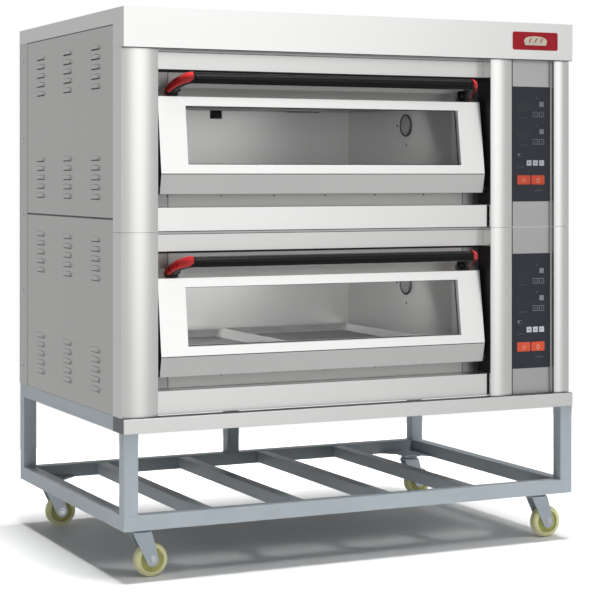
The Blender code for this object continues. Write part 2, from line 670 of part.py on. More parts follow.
def build_stand(corner):
    low = FRAME_INSET
    right, back = WIDTH - FRAME_INSET, DEPTH - FRAME_INSET
    rail_bottom = RAIL_TOP - TUBE
    ring = box((low, low, rail_bottom), (right, back, RAIL_TOP))
    upper = add_piece("stand_upper_frame", ring, PAINT, corner)
    inside = box((low + TUBE, low + TUBE, 0), (right - TUBE, back - TUBE, 1))
    combine(upper, inside, "DIFFERENCE")
    legs = bmesh.new()
    leg_places = [(low, low), (right - TUBE, low), (low, back - TUBE), (right - TUBE, back - TUBE)]
    leg_places.append((MIDDLE_LEG - TUBE / 2, back - TUBE))
    for leg_x, leg_y in leg_places:
        add_box(legs, (leg_x, leg_y, LOWER_TOP + GAP), (leg_x + TUBE, leg_y + TUBE, rail_bottom + 0.01))
    combine(upper, legs, "UNION")
    cap = [(0, FRONT_DEPTH), (0, 0), (WIDTH, 0), (WIDTH, FRONT_DEPTH)]
    add_piece("stand_front_cap", prism(strip(cap, 0.0012), "Z", rail_bottom, RAIL_TOP), STAINLESS, corner)
    build_lower_frame(corner, low, right, back)


def build_lower_frame(corner, low, right, back):
    ring = box((low, low, LOWER_TOP - TUBE), (right, back, LOWER_TOP))
    lower = add_piece("stand_lower_frame", ring, PAINT, corner)
    inside = box((low + TUBE, low + TUBE, 0), (right - TUBE, back - TUBE, 1))
    combine(lower, inside, "DIFFERENCE")
    bars = bmesh.new()
    for centre in SLAT_CENTRES:
        start = (centre - SLAT_WIDTH / 2, low + TUBE - 0.005, LOWER_TOP - SLAT_WIDTH - 0.001)
        add_box(bars, start, (centre + SLAT_WIDTH / 2, back - TUBE + 0.005, LOWER_TOP - 0.001))
    combine(lower, bars, "UNION")
    plates = bmesh.new()
    reach = 0.110
    bottom = LOWER_TOP - TUBE
    for corner_x, way_x in ((low + TUBE, 1), (right - TUBE, -1)):
        for corner_y, way_y in ((low + TUBE, 1), (back - TUBE, -1)):
            start_x = corner_x - way_x * 0.005
            start_y = corner_y - way_y * 0.005
            tip_x, tip_y = corner_x + way_x * reach, corner_y + way_y * reach
            outline = [(start_x, start_y), (tip_x, start_y), (tip_x, corner_y)]
            outline += [(corner_x, tip_y), (start_x, tip_y)]
            add_prism(plates, outline, "Z", bottom + 0.0005, bottom + 0.0050)
    combine(lower, plates, "UNION")


def wheel_shape():
    """Turned wheel about the Y axis: bore, hub face, recessed web and a tyre with rounded shoulders."""
    half = WHEEL_WIDTH / 2
    profile = [
        (BORE_RADIUS, half), (0.012, half), (0.014, half - 0.005), (0.027, half - 0.005),
        (0.029, half - 0.001), (WHEEL_RADIUS - 0.004, half - 0.001), (WHEEL_RADIUS, half - 0.006),
    ]
    profile += [(radius, -along) for radius, along in reversed(profile)]
    shape = bmesh.new()
    sides = 24
    loops = []
    for index in range(sides):
        angle = 2 * math.pi * index / sides
        loops.append([shape.verts.new((r * math.cos(angle), y, r * math.sin(angle))) for r, y in profile])
    for first, second in zip(loops, loops[1:] + loops[:1]):
        for index in range(len(profile)):
            shape.faces.new((first[index - 1], first[index], second[index], second[index - 1]))
    return shape


def yoke_cheek():
    """Outline of a yoke cheek in X and Z from the swivel axis, wide at the top and round at the axle."""
    top = CROWN_BOTTOM + 0.0015
    outline = [(CHEEK_TOP_HALF, top), (-CHEEK_TOP_HALF, top)]
    for step in range(7):
        angle = math.radians(210 + 140 * step / 6)
        x = CASTER_TRAIL + CHEEK_END_RADIUS * math.cos(angle)
        outline.append((x, WHEEL_RADIUS + CHEEK_END_RADIUS * math.sin(angle)))
    return outline


def build_caster(corner, place):
    swivel_x, swivel_y = CASTERS[place]
    mount_top = LOWER_TOP - TUBE - GAP
    swivel = add_empty(f"{place}_swivel", (swivel_x, swivel_y, 0), corner)
    plate = box((-0.029, -0.029, mount_top - 0.003), (0.029, 0.029, mount_top))
    mount = add_piece(f"{place}_caster_plate", plate, ZINC, swivel)
    combine(mount, prism(circle((0, 0), 0.024, 16), "Z", mount_top - 0.011, mount_top - 0.002), "UNION")
    yoke_top = mount_top - 0.0115
    disc = prism(circle((0, 0), CROWN_RADIUS, 16), "Z", CROWN_BOTTOM, yoke_top)
    yoke = add_piece(f"{place}_yoke", disc, ZINC, swivel, smooth=True)
    cheek_inside = WHEEL_WIDTH / 2 + 0.0015
    cheeks = bmesh.new()
    for side in (-1, 1):
        span = sorted((side * cheek_inside, side * (cheek_inside + 0.003)))
        add_prism(cheeks, yoke_cheek(), "Y", *span)
    combine(yoke, cheeks, "UNION")
    axle_end = cheek_inside + 0.007
    axle_centre = (CASTER_TRAIL, WHEEL_RADIUS)
    combine(yoke, prism(circle(axle_centre, AXLE_RADIUS, 10), "Y", -axle_end, axle_end), "UNION")
    heads = prism(circle(axle_centre, 0.0075, 6), "Y", cheek_inside + 0.0025, axle_end + 0.0008)
    add_prism(heads, circle(axle_centre, 0.0075, 6), "Y", -axle_end - 0.0008, -cheek_inside - 0.0025)
    combine(yoke, heads, "UNION")
    wheel = add_piece(f"{place}_wheel", wheel_shape(), YELLOW_WHEEL, swivel, smooth=True)
    wheel.location = (CASTER_TRAIL, 0, WHEEL_RADIUS)


def main():
    clear_scene()
    corner = add_empty("hood_corner", (-WIDTH / 2, (BAR_REACH - DEPTH) / 2, 0))
    build_hood(corner)
    build_rear_cover(corner)
    build_casing(corner)
    for side in ("left", "right"):
        for deck in DECK_BASES:
            build_side_panel(corner, side, deck)
    for deck, height in DECK_BASES.items():
        base = add_empty(f"{deck}_deck", (0, 0, height), corner)
        top = DECK_HEIGHT - GAP
        build_pillar(deck, base, top)
        build_control_column(deck, base, top)
        build_control_unit(deck, base)
        build_front_sheets(deck, base)
        build_chamber(deck, base)
        build_heaters(deck, base)
        build_door(deck, base)
        if deck == "lower":
            for side in TRAYS:
                build_tray(side, base)
    build_stand(corner)
    for place in CASTERS:
        build_caster(corner, place)


main()
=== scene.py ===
import math

import bmesh
import bpy
from mathutils import Matrix, Vector


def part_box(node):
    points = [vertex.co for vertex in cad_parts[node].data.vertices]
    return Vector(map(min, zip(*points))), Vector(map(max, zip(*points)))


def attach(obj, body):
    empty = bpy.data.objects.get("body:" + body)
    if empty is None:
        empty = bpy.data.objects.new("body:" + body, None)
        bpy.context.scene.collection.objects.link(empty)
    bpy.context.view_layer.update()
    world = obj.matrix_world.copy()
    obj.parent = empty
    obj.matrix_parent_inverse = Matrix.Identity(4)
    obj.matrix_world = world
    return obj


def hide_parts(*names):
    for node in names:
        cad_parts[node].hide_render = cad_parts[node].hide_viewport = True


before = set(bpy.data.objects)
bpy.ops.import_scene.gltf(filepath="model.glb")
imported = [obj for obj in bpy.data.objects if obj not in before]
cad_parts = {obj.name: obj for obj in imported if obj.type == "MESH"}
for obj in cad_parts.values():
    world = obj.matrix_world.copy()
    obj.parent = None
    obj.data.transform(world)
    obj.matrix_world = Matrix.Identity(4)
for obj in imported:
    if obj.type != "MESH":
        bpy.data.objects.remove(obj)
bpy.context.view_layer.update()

DECKS = ("upper", "lower")
SIDES = ("left", "right")
CORNERS = ("front_left", "front_right", "rear_left", "rear_right")
OUTWARD = {"left": -1, "right": 1}

# Camera: distances from the hood's left front corner on the floor, in metres.
CAMERA_LEFT = 1.41
CAMERA_FORWARD = 3.901
CAMERA_HEIGHT = 0.937
CAMERA_TURN = -25.43
CAMERA_LENS = 108.67
CAMERA_SHIFT = -0.2087

# Louvres, measured on a side panel from its front edge and its bottom.
LOUVRE_COLUMNS = (0.126, 0.339, 0.56)
LOUVRE_BLOCKS = (0.0512, 0.3142)
LOUVRE_ROWS = 5
LOUVRE_PITCH = 0.0232
LOUVRE_LENGTH = 0.072
LOUVRE_HEIGHT = 0.011
LOUVRE_RISE = 0.005
SLOT_REACH = 0.42 * LOUVRE_LENGTH

# Pillars and panel recess, measured from the hood's left edge and its front.
PILLAR_FRONT = 0.015
PILLAR_STEPS = 32
PILLAR_BOWS = ((0.0, 0.091, 0.005), (0.986, 1.0495, 0.0035), (1.1745, 1.22, 0.003))
PANEL_LEFT = 1.0495
PANEL_RIGHT = 1.1745
BADGE_LEFT = 1.04
BADGE_SIZE = (0.134, 0.046)
BADGE_RISE = 0.0235

WHEEL_RADIUS = 0.04
WHEEL_WIDTH = 0.027
CASTER_TRAIL = 0.026
CHEEK = 0.0026
BAR_RADIUS = 0.013
KEY_EXTRA = 0.0009
WELL_GAP = 0.0004

STAND_TUBE = 0.034
MIDDLE_LEG = 0.61
SLAT_START = 0.22
SLAT_PITCH = 0.2385
SLAT_HALF = 0.015

CHAMBER_POWER = {"upper": 1.5, "lower": 2.2}
FLOOR_EDGES = (-2.4, 2.8, -1.15, 1.7)

hood_low, hood_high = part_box("top_hood")


# ---- node materials

def new_material(name):
    material = bpy.data.materials.new(name)
    material.use_nodes = True
    return material, material.node_tree, material.node_tree.nodes["Principled BSDF"]


def feed(tree, node, values):
    """Feeds a node's inputs, each with the output of another node or with a plain value."""
    for key, value in values.items():
        if isinstance(value, bpy.types.NodeSocket):
            tree.links.new(value, node.inputs[key])
        else:
            node.inputs[key].default_value = value


def add_node(tree, kind, values):
    node = tree.nodes.new(f"ShaderNode{kind}")
    feed(tree, node, values)
    return node


def compute(tree, kind, operation, *values):
    """Math or VectorMath node over values, each one an output or a plain value."""
    node = tree.nodes.new(f"ShaderNode{kind}")
    node.operation = operation
    feed(tree, node, dict(enumerate(values)))
    plain = kind == "Math" or operation == "DOT_PRODUCT"
    return node.outputs["Value" if plain else "Vector"]


def noise(tree, scale, stretch=(1, 1, 1), detail=3.0):
    """Noise value over the object's own coordinates, stretched along chosen axes."""
    coords = tree.nodes.new("ShaderNodeTexCoord").outputs["Object"]
    mapping = add_node(tree, "Mapping", {"Vector": coords, "Scale": stretch})
    values = {"Vector": mapping.outputs["Vector"], "Scale": scale, "Detail": detail, "Roughness": 0.55}
    return add_node(tree, "TexNoise", values).outputs["Fac"]


def spread(tree, value, low, high, start=0.1, end=0.9, curve="LINEAR"):
    """The value's range from start to end mapped to low..high."""
    values = {"Value": value, "From Min": start, "From Max": end, "To Min": low, "To Max": high}
    node = add_node(tree, "MapRange", values)
    node.interpolation_type = curve
    return node.outputs["Result"]


def colour_between(tree, value, first, second):
    node = add_node(tree, "ValToRGB", {"Fac": value})
    ramp = node.color_ramp
    ramp.interpolation = "EASE"
    for stop, position, colour in zip(ramp.elements, (0.1, 0.9), (first, second)):
        stop.position = position
        stop.color = (*colour, 1.0)
    return node.outputs["Color"]


def bump(tree, value, strength):
    node = add_node(tree, "Bump", {"Height": value, "Strength": strength, "Distance": 0.0003})
    return node.outputs["Normal"]


def darker(colour, share):
    return tuple(channel * share for channel in colour)


def brushed_steel(name, colour, roughness, grain):
    """Stainless sheet: fine grain along one way and soft smudges."""
    material, tree, shader = new_material(name)
    stretch = {"level": (0.01, 0.01, 1), "upright": (1, 1, 0.01)}[grain]
    streaks = noise(tree, 45.0, stretch, detail=0.0)
    smudges = noise(tree, 3.5)
    worn = compute(tree, "Math", "MULTIPLY_ADD", streaks, 0.25, smudges)
    tint = colour_between(tree, smudges, darker(colour, 0.95), colour)
    dull = spread(tree, worn, roughness - 0.02, roughness + 0.03)
    feed(tree, shader, {"Base Color": tint, "Roughness": dull, "Metallic": 1.0})
    return material


def coated(name, colour, roughness, scale, strength, metallic=0.0, variation=0.85, specular=0.5):
    """Paint, plastic or dull metal: mottled colour and roughness, and a fine surface texture."""
    material, tree, shader = new_material(name)
    fine = noise(tree, scale * 8, detail=2.0)
    broad = noise(tree, scale / 10, detail=4.0)
    tint = colour_between(tree, broad, darker(colour, variation), colour)
    dull = spread(tree, broad, roughness - 0.04, roughness + 0.06)
    feed(tree, shader, {"Base Color": tint, "Roughness": dull, "Metallic": metallic,
                        "Specular IOR Level": specular, "Normal": bump(tree, fine, strength)})
    return material


def clear_glass(name):
    """Window glass: mostly see-through, with a faint film of grease in its roughness."""
    material, tree, shader = new_material(name)
    film = spread(tree, noise(tree, 12.0, detail=4.0), 0.02, 0.09)
    feed(tree, shader, {"Base Color": (0.05, 0.07, 0.07, 1.0), "Alpha": 0.05, "IOR": 1.45, "Roughness": film})
    return material


# Colour, roughness and way of the grain.
STEELS = {
    "front": ((0.8, 0.8, 0.79), 0.27, "level"),
    "upright": ((0.8, 0.8, 0.79), 0.25, "upright"),
    "side": ((0.62, 0.62, 0.61), 0.33, "upright"),
    # niche, lintel, panel and post: the same stainless painted darker, as painted shade in recessed places
    "niche": ((0.52, 0.52, 0.52), 0.34, "level"),
    "lintel": ((0.68, 0.68, 0.67), 0.28, "level"),
    "panel": ((0.48, 0.48, 0.48), 0.3, "upright"),
    "post": ((0.3, 0.3, 0.3), 0.34, "level"),
}
# Name, colour, roughness, grain per metre and bump strength, then metallic share, mottling and
# specular level where they differ from the usual.
COATS = {
    "chamber": ("chamber_steel", (0.6, 0.6, 0.59), 0.42, 30.0, 0.05, 0.6, 0.9),
    "hearth": ("hearth_steel", (0.06, 0.06, 0.06), 0.5, 60.0, 0.15, 0.7, 0.7),
    "heater": ("heater_steel", (0.46, 0.45, 0.44), 0.45, 80.0, 0.1, 0.4, 0.8),
    "casing": ("casing_board", (0.008, 0.008, 0.008), 0.85, 120.0, 0.4, 0.0, 0.6, 0.1),
    "lining": ("door_lining", (0.78, 0.78, 0.78), 0.4, 60.0, 0.1, 0.2, 0.9),
    "bar": ("black_bar", (0.003, 0.003, 0.004), 0.16, 150.0, 0.03, 0.0, 0.85, 0.2),
    "arm": ("black_arm", (0.006, 0.006, 0.007), 0.4, 150.0, 0.15, 0.0, 0.85, 0.2),
    "red": ("red_cover", (0.56, 0.022, 0.024), 0.28, 120.0, 0.05),
    "film": ("keypad_film", (0.011, 0.014, 0.027), 0.36, 200.0, 0.06),
    "display": ("display_window", (0.015, 0.018, 0.029), 0.22, 200.0, 0.01),
    "print_dim": ("print_dim", (0.1, 0.11, 0.14), 0.5, 200.0, 0.02),
    "print_grey": ("print_grey", (0.27, 0.29, 0.34), 0.5, 200.0, 0.02),
    "print_white": ("print_white", (0.68, 0.71, 0.76), 0.45, 200.0, 0.02),
    "print_dark": ("print_dark", (0.16, 0.17, 0.21), 0.5, 200.0, 0.02),
    "orange": ("orange_key", (0.76, 0.095, 0.04), 0.38, 120.0, 0.04),
    "cream": ("cream_mark", (0.86, 0.8, 0.66), 0.4, 120.0, 0.03),
    "badge": ("badge_red", (0.5, 0.009, 0.024), 0.3, 120.0, 0.03, 0.0, 0.85, 0.3),
    "tray": ("tray_aluminium", (0.93, 0.93, 0.92), 0.24, 40.0, 0.03, 0.75, 0.96),
    # pan: plain darker grey for the tray's floor
    "pan": ("dark_pan_floor", (0.24, 0.24, 0.24), 0.34, 25.0, 0.08, 0.9, 0.75),
    "paint": ("stand_paint", (0.37, 0.42, 0.455), 0.38, 60.0, 0.12),
    "zinc": ("zinc_plate", (0.44, 0.5, 0.55), 0.36, 60.0, 0.1, 0.6, 0.85),
    "bolt": ("bright_bolt", (0.72, 0.74, 0.76), 0.25, 120.0, 0.05, 1.0, 0.8),
    # cap returns: stainless painted dark, a painted reflection of the shaded floor under the oven
    "return": ("cap_return_painted_shade", (0.16, 0.175, 0.185), 0.4, 60.0, 0.08, 0.6, 0.9),
    "louvre": ("louvre_shadow", (0.1, 0.1, 0.1), 0.5, 60.0, 0.1, 0.6, 0.8),
    "shade": ("shaded_steel", (0.03, 0.03, 0.031), 0.45, 60.0, 0.1, 0.6, 0.8),
    "screw": ("dark_screw", (0.09, 0.09, 0.09), 0.4, 120.0, 0.1, 0.9, 0.8),
    "tyre": ("cream_tyre", (0.72, 0.71, 0.38), 0.36, 60.0, 0.06),
    "hub": ("yellow_hub", (0.47, 0.47, 0.13), 0.38, 60.0, 0.06),
    "rubber": ("black_rubber", (0.018, 0.018, 0.018), 0.6, 120.0, 0.2),
    "lamp": ("lamp_glass", (0.22, 0.22, 0.21), 0.3, 120.0, 0.03),
}
MATERIALS = {key: brushed_steel(f"{key}_stainless", *values) for key, values in STEELS.items()}
MATERIALS |= {key: coated(*values) for key, values in COATS.items()}
MATERIALS["glass"] = clear_glass("window_glass")

NODE_LOOKS = {
    "top_hood": "front", "rear_cover": "side", "insulated_casing": "casing",
    "stand_upper_frame": "paint", "stand_lower_frame": "paint",
}
DECK_LOOKS = {
    "left_pillar": "upright", "control_column": "upright", "lintel": "lintel", "fascia": "front",
    "chamber_liner": "chamber", "hearth_plate": "hearth", "door_shell": "front",
    "door_inner_frame": "lining", "door_glass": "glass",
}
BEVELLED = {"top_hood", "stand_upper_frame", "stand_lower_frame"}
BEVELLED_IN_DECK = {"left_pillar", "control_column", "lintel", "fascia", "door_shell"}


# ---- mesh helpers

def centre_of(node):
    low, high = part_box(node)
    return (low + high) / 2


def new_object(name, data):
    item = bpy.data.objects.new(name, data)
    bpy.context.scene.collection.objects.link(item)
    return item


def arc(centre, radius, first, last, steps):
    """Points on an arc in a plane, from first to last degrees."""
    angles = [math.radians(first + (last - first) * step / steps) for step in range(steps + 1)]
    return [(centre[0] + radius * math.cos(angle), centre[1] + radius * math.sin(angle)) for angle in angles]


def add_box(shape, low, high):
    size = [top - bottom for bottom, top in zip(low, high)]
    centre = [(top + bottom) / 2 for bottom, top in zip(low, high)]
    place = Matrix.Translation(centre) @ Matrix.Diagonal((*size, 1.0))
    bmesh.ops.create_cube(shape, size=1.0, matrix=place)


def join_loops(shape, loops):
    """Bands of faces between each loop of vertices and the next."""
    for first, second in zip(loops, loops[1:]):
        for index in range(len(first)):
            shape.faces.new((first[index - 1], first[index], second[index], second[index - 1]))


def add_loft(shape, rings):
    """Solid through rings of points, with flat ends."""
    loops = [[shape.verts.new(point) for point in ring] for ring in rings]
    join_loops(shape, loops)
    shape.faces.new(list(reversed(loops[0])))
    shape.faces.new(loops[-1])


def ring_points(centre, radius, sides, across, other):
    points = []
    for index in range(sides):
        angle = 2 * math.pi * index / sides
        points.append(centre + across * radius * math.cos(angle) + other * radius * math.sin(angle))
    return points


def add_turned(shape, centre, axis, profile, sides=48):
    """Body turned about axis through centre: profile is (distance along axis, radius) from end to end."""
    axis = Vector(axis).normalized()
    across = axis.orthogonal().normalized()
    other = axis.cross(across)
    rings = []
    for along, radius in profile:
        rings.append(ring_points(Vector(centre) + axis * along, radius, sides, across, other))
    add_loft(shape, rings)


def add_hoop(shape, centre, profile, sides):
    """Ring turned about Y through centre: profile is a closed loop of (distance along Y, radius)."""
    loops = []
    for step in range(sides):
        angle = 2 * math.pi * step / sides
        across = Vector((math.cos(angle), 0, math.sin(angle)))
        points = [centre + across * radius + Vector((0, along, 0)) for along, radius in profile]
        loops.append([shape.verts.new(point) for point in points])
    join_loops(shape, loops + loops[:1])


def add_tube(shape, points, radii, sides=16):
    """Tube along points that keeps its frame from twisting, with flat ends."""
    points = [Vector(point) for point in points]
    rings = []
    across = None
    for index, point in enumerate(points):
        run = (points[min(index + 1, len(points) - 1)] - points[max(index - 1, 0)]).normalized()
        across = run.orthogonal() if across is None else across - run * across.dot(run)
        across.normalize()
        radius = radii[index] if isinstance(radii, (list, tuple)) else radii
        rings.append(ring_points(point, radius, sides, across, run.cross(across)))
    add_loft(shape, rings)


def add_plate(shape, outline, front, thickness):
    """Flat plate facing -Y: outline is in X and Z, front is its nearest Y."""
    add_loft(shape, [[(x, y, z) for x, z in outline] for y in (front, front + thickness)])


def add_slab(shape, outline, low_z, high_z):
    """Upright prism: outline is in X and Y."""
    add_loft(shape, [[(x, y, z) for x, y in outline] for z in (low_z, high_z)])


def add_walls(shape, loop, back):
    """Walls from a loop of vertices straight back to a given Y, closed by a face at the end."""
    ends = [shape.verts.new((vert.co.x, back, vert.co.z)) for vert in loop]
    join_loops(shape, [loop, ends])
    shape.faces.new(ends)


def add_plate_with_wells(shape, outline, wells, front, thickness, depth):
    """Flat plate facing -Y with a shallow well for every inner outline."""
    loops = [[shape.verts.new((x, front, z)) for x, z in points] for points in (outline, *wells)]
    edges = [shape.edges.new((loop[index - 1], loop[index])) for loop in loops for index in range(len(loop))]
    bmesh.ops.triangle_fill(shape, use_beauty=True, edges=edges)
    add_walls(shape, loops[0], front + thickness)
    for loop in loops[1:]:
        add_walls(shape, loop, front + depth)


def piece(name, shape, look, body, replaces=(), smooth=30, bevel=0.0, segments=2):
    bmesh.ops.recalc_face_normals(shape, faces=shape.faces)
    mesh = bpy.data.meshes.new(name)
    shape.to_mesh(mesh)
    shape.free()
    mesh.materials.append(MATERIALS[look])
    mesh.shade_smooth()
    mesh.set_sharp_from_angle(angle=math.radians(smooth))
    item = new_object(name, mesh)
    if bevel:
        add_bevel(item, bevel, segments)
    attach(item, body)
    if replaces:
        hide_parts(*replaces)


def box_piece(name, boxes, look, replaces=(), bevel=0.0):
    """Piece on the oven's body made of plain boxes."""
    shape = bmesh.new()
    for low, high in boxes:
        add_box(shape, low, high)
    piece(name, shape, look, "oven", replaces, bevel=bevel)


def add_bevel(item, width, segments=2):
    modifier = item.modifiers.new("edge_round", "BEVEL")
    modifier.width = width
    modifier.segments = segments
    modifier.limit_method = "ANGLE"
    modifier.angle_limit = math.radians(30)
    modifier.harden_normals = True


def rounded_outline(low_x, high_x, low_z, high_z, radius, steps=5):
    centres = ((high_x - radius, high_z - radius), (low_x + radius, high_z - radius),
               (low_x + radius, low_z + radius), (high_x - radius, low_z + radius))
    points = []
    for quarter, centre in enumerate(centres):
        points += arc(centre, radius, 90 * quarter, 90 * quarter + 90, steps)
    return points


# ---- carried-over CAD nodes

def dress_cad_nodes():
    looks = dict(NODE_LOOKS)
    for deck in DECKS:
        for part, look in DECK_LOOKS.items():
            looks[f"{deck}_{part}"] = look
    bevelled = BEVELLED | {f"{deck}_{part}" for deck in DECKS for part in BEVELLED_IN_DECK}
    for name, look in looks.items():
        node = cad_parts[name]
        node.data.materials.clear()
        node.data.materials.append(MATERIALS[look])
        if name in bevelled:
            add_bevel(node, 0.0007)


# ---- casing details

def side_wall(side, deck):
    """Box of a side panel and the X of its sheet, behind the louvres."""
    low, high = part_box(f"side_panel_{side}_{deck}")
    wall = low.x + LOUVRE_RISE if side == "left" else high.x - LOUVRE_RISE
    return low, high, wall


def louvre_grid(low):
    """Centres of the louvres of a side panel: Y of its columns and Z of its rows."""
    columns = [low.y + offset for offset in LOUVRE_COLUMNS]
    rows = [low.z + block + row * LOUVRE_PITCH for block in LOUVRE_BLOCKS for row in range(LOUVRE_ROWS)]
    return columns, rows


def add_scoop(shape, wall, outward, centre_y, lip_z):
    """Curved louvre scoop: rises from the sheet at its top and ends, open along its lower lip."""
    along, down = 20, 6
    grid = []
    for row in range(down + 1):
        drop = row / down
        line = []
        for column in range(along + 1):
            share = 2 * column / along - 1
            rise = (1 - abs(share) ** 5) * math.sin(drop * math.pi / 2) ** 0.8
            height = lip_z + LOUVRE_HEIGHT * (1 - drop) * (1 - 0.25 * abs(share) ** 3)
            x = wall + outward * LOUVRE_RISE * rise
            line.append(shape.verts.new((x, centre_y + share * LOUVRE_LENGTH / 2, height)))
        grid.append(line)
    for upper, lower in zip(grid, grid[1:]):
        for index in range(along):
            shape.faces.new((upper[index], upper[index + 1], lower[index + 1], lower[index]))


def add_slotted_sheet(shape, wall, outward, cuts_y, cuts_z):
    """Flat sheet on a grid of cuts, open in every cell that starts at two odd cuts."""
    corners = [[shape.verts.new((wall, y, z)) for z in cuts_z] for y in cuts_y]
    for i in range(len(cuts_y) - 1):
        for j in range(len(cuts_z) - 1):
            if i % 2 and j % 2:
                continue
            quad = (corners[i][j], corners[i + 1][j], corners[i + 1][j + 1], corners[i][j + 1])
            shape.faces.new(quad if outward > 0 else tuple(reversed(quad)))


def build_side_panel(side, deck):
    """Side sheet with a slot behind every louvre scoop."""
    low, high, wall = side_wall(side, deck)
    outward = OUTWARD[side]
    columns, rows = louvre_grid(low)
    shape = bmesh.new()
    for row in rows:
        for column in columns:
            add_scoop(shape, wall, outward, column, row - LOUVRE_HEIGHT / 2)
    for face in shape.faces:
        face.smooth = True
        face.normal_update()
        if face.normal.x * outward < 0:
            face.normal_flip()
    ends_y = [value for column in columns for value in (column - SLOT_REACH, column + SLOT_REACH)]
    ends_z = [value for row in rows for value in (row - 0.006, row + 0.0015)]
    add_slotted_sheet(shape, wall, outward, [low.y, *ends_y, high.y], [low.z, *ends_z, high.z])
    name = f"{side}_{deck}_louvred_panel"
    mesh = bpy.data.meshes.new(name)
    shape.to_mesh(mesh)
    shape.free()
    mesh.materials.append(MATERIALS["side"])
    panel = new_object(name, mesh)
    thick = panel.modifiers.new("sheet_thickness", "SOLIDIFY")
    thick.thickness = 0.001
    thick.offset = -1.0
    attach(panel, "oven")
    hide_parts(f"side_panel_{side}_{deck}")


def build_side_lines(side, deck):
    """Painted shade under the louvre lips, and the dark joints above and below the side panel."""
    low, high, wall = side_wall(side, deck)
    near, far = wall - 0.0004, wall + 0.0004
    columns, rows = louvre_grid(low)
    boxes = []
    for row in rows:
        lip = row - LOUVRE_HEIGHT / 2
        for column in columns:
            # dark strip under each louvre lip: painted shade
            start = (near, column - SLOT_REACH, lip - 0.0026)
            boxes.append((start, (far, column + SLOT_REACH, lip + 0.0008)))
    boxes.append(((near, low.y, high.z - 0.0018), (far, high.y, high.z - 0.0002)))
    if deck == "upper":
        boxes.append(((near, low.y, low.z + 0.0001), (far, high.y, low.z + 0.002)))
    box_piece(f"{side}_{deck}_side_lines", boxes, "louvre")


def build_pillar_faces(deck):
    """Smooth bowed skins on the three pillars."""
    low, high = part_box(f"{deck}_control_column")
    shape = bmesh.new()
    for start, end, bow in PILLAR_BOWS:
        curve = []
        for index in range(PILLAR_STEPS + 1):
            share = index / PILLAR_STEPS
            y = hood_low.y + PILLAR_FRONT + bow * (2 * share - 1) ** 2
            curve.append((hood_low.x + start + (end - start) * share, y))
        outline = [(x, y - 0.0005) for x, y in curve] + [(x, y + 0.0003) for x, y in reversed(curve)]
        add_slab(shape, outline, low.z + 0.0002, high.z - 0.0002)
    piece(f"{deck}_pillar_faces", shape, "upright", "oven", smooth=25)


def build_hood_edge():
    """Painted shadow: a dark line under the hood's lower front edge."""
    low = (hood_low.x + 0.001, hood_low.y + 0.0003, hood_low.z - 0.001)
    high = (hood_high.x - 0.001, hood_low.y + 0.015, hood_low.z - 0.0001)
    box_piece("hood_edge", [(low, high)], "shade")


def add_screw(shape, centre, outward, radius=0.0042):
    """Low domed screw head."""
    profile = [(-0.0006, radius), (0.0004, radius), (0.001, radius * 0.85), (0.0014, radius * 0.5),
               (0.0015, radius * 0.1)]
    add_turned(shape, centre, outward, profile, 20)


def build_screws():
    """Screws along the rear cover's edges and under each door."""
    low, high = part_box("rear_cover")
    side_y = (low.y + high.y) / 2
    shape = bmesh.new()
    for index in range(5):
        height = low.z + 0.05 + index * (high.z - low.z - 0.1) / 4
        for x in (low.x + 0.03, high.x - 0.03):
            add_screw(shape, (x, high.y, height), (0, 1, 0))
        for x, outward in ((low.x, -1), (high.x, 1)):
            add_screw(shape, (x, side_y, height), (outward, 0, 0), 0.0036)
    for index in range(1, 5):
        x = low.x + index * (high.x - low.x) / 5
        for height in (high.z - 0.02, low.z + 0.02):
            add_screw(shape, (x, high.y, height), (0, 1, 0))
    piece("rear_screws", shape, "bolt", "oven")
    for deck in DECKS:
        sill_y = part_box(f"{deck}_chamber_liner")[0].y
        shell_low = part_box(f"{deck}_door_shell")[0]
        shape = bmesh.new()
        for index in range(6):
            x = shell_low.x + 0.05 + index * 0.138
            add_screw(shape, (x, sill_y, shell_low.z - 0.005), (0, -1, 0), 0.002)
        piece(f"{deck}_sill_screws", shape, "screw", "oven")


def build_niche_posts(deck):
    """End posts of the door niche in darker steel as painted shade, the seams beside them, and a dark line
    under the lintel as painted shadow.
    """
    low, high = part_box(f"{deck}_chamber_liner")
    back, bottom, top = low.y - 0.0001, low.z + 0.001, high.z - 0.001
    posts = []
    for start, end in ((low.x + 0.001, low.x + 0.0465), (high.x - 0.0455, high.x - 0.001)):
        posts.append(((start, low.y - 0.0007, bottom), (end, back, top)))
    box_piece(f"{deck}_niche_posts", posts, "post", bevel=0.0003)
    seams = []
    for start in (low.x + 0.0465, high.x - 0.047, high.x - 0.012):
        seams.append(((start, low.y - 0.0009, bottom), (start + 0.0014, back, top)))
    # dark line under the lintel: painted shadow
    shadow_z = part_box(f"{deck}_lintel")[0].z
    shadow_start = (low.x + 0.002, low.y - 0.0012, shadow_z - 0.006)
    seams.append((shadow_start, (high.x - 0.002, back, shadow_z - 0.0004)))
    box_piece(f"{deck}_niche_seams", seams, "shade")


def build_shaded_walls(deck):
    """Painted shade: dark sheets on the niche's side walls and the recess's right wall, and a dark seam at
    the recess's left.
    """
    low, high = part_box(f"{deck}_chamber_liner")
    column_low, column_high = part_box(f"{deck}_control_column")
    bottom, top = column_low.z + 0.001, column_high.z - 0.001
    niche_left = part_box(f"{deck}_left_pillar")[1].x
    niche_right = column_low.x
    recess_left, recess_right = hood_low.x + PANEL_LEFT, hood_low.x + PANEL_RIGHT
    boxes = []
    for start in (niche_right - 0.0006, niche_left):
        niche_end = (start + 0.0006, low.y - 0.001, high.z - 0.001)
        boxes.append(((start, hood_low.y + 0.0205, low.z + 0.001), niche_end))
    for start, end, near, far in ((recess_right - 0.0006, recess_right, 0.019, 0.023),
                                  (recess_left - 0.0004, recess_left + 0.0008, 0.017, 0.02)):
        boxes.append(((start, hood_low.y + near, bottom), (end, hood_low.y + far, top)))
    box_piece(f"{deck}_shaded_walls", boxes, "shade")


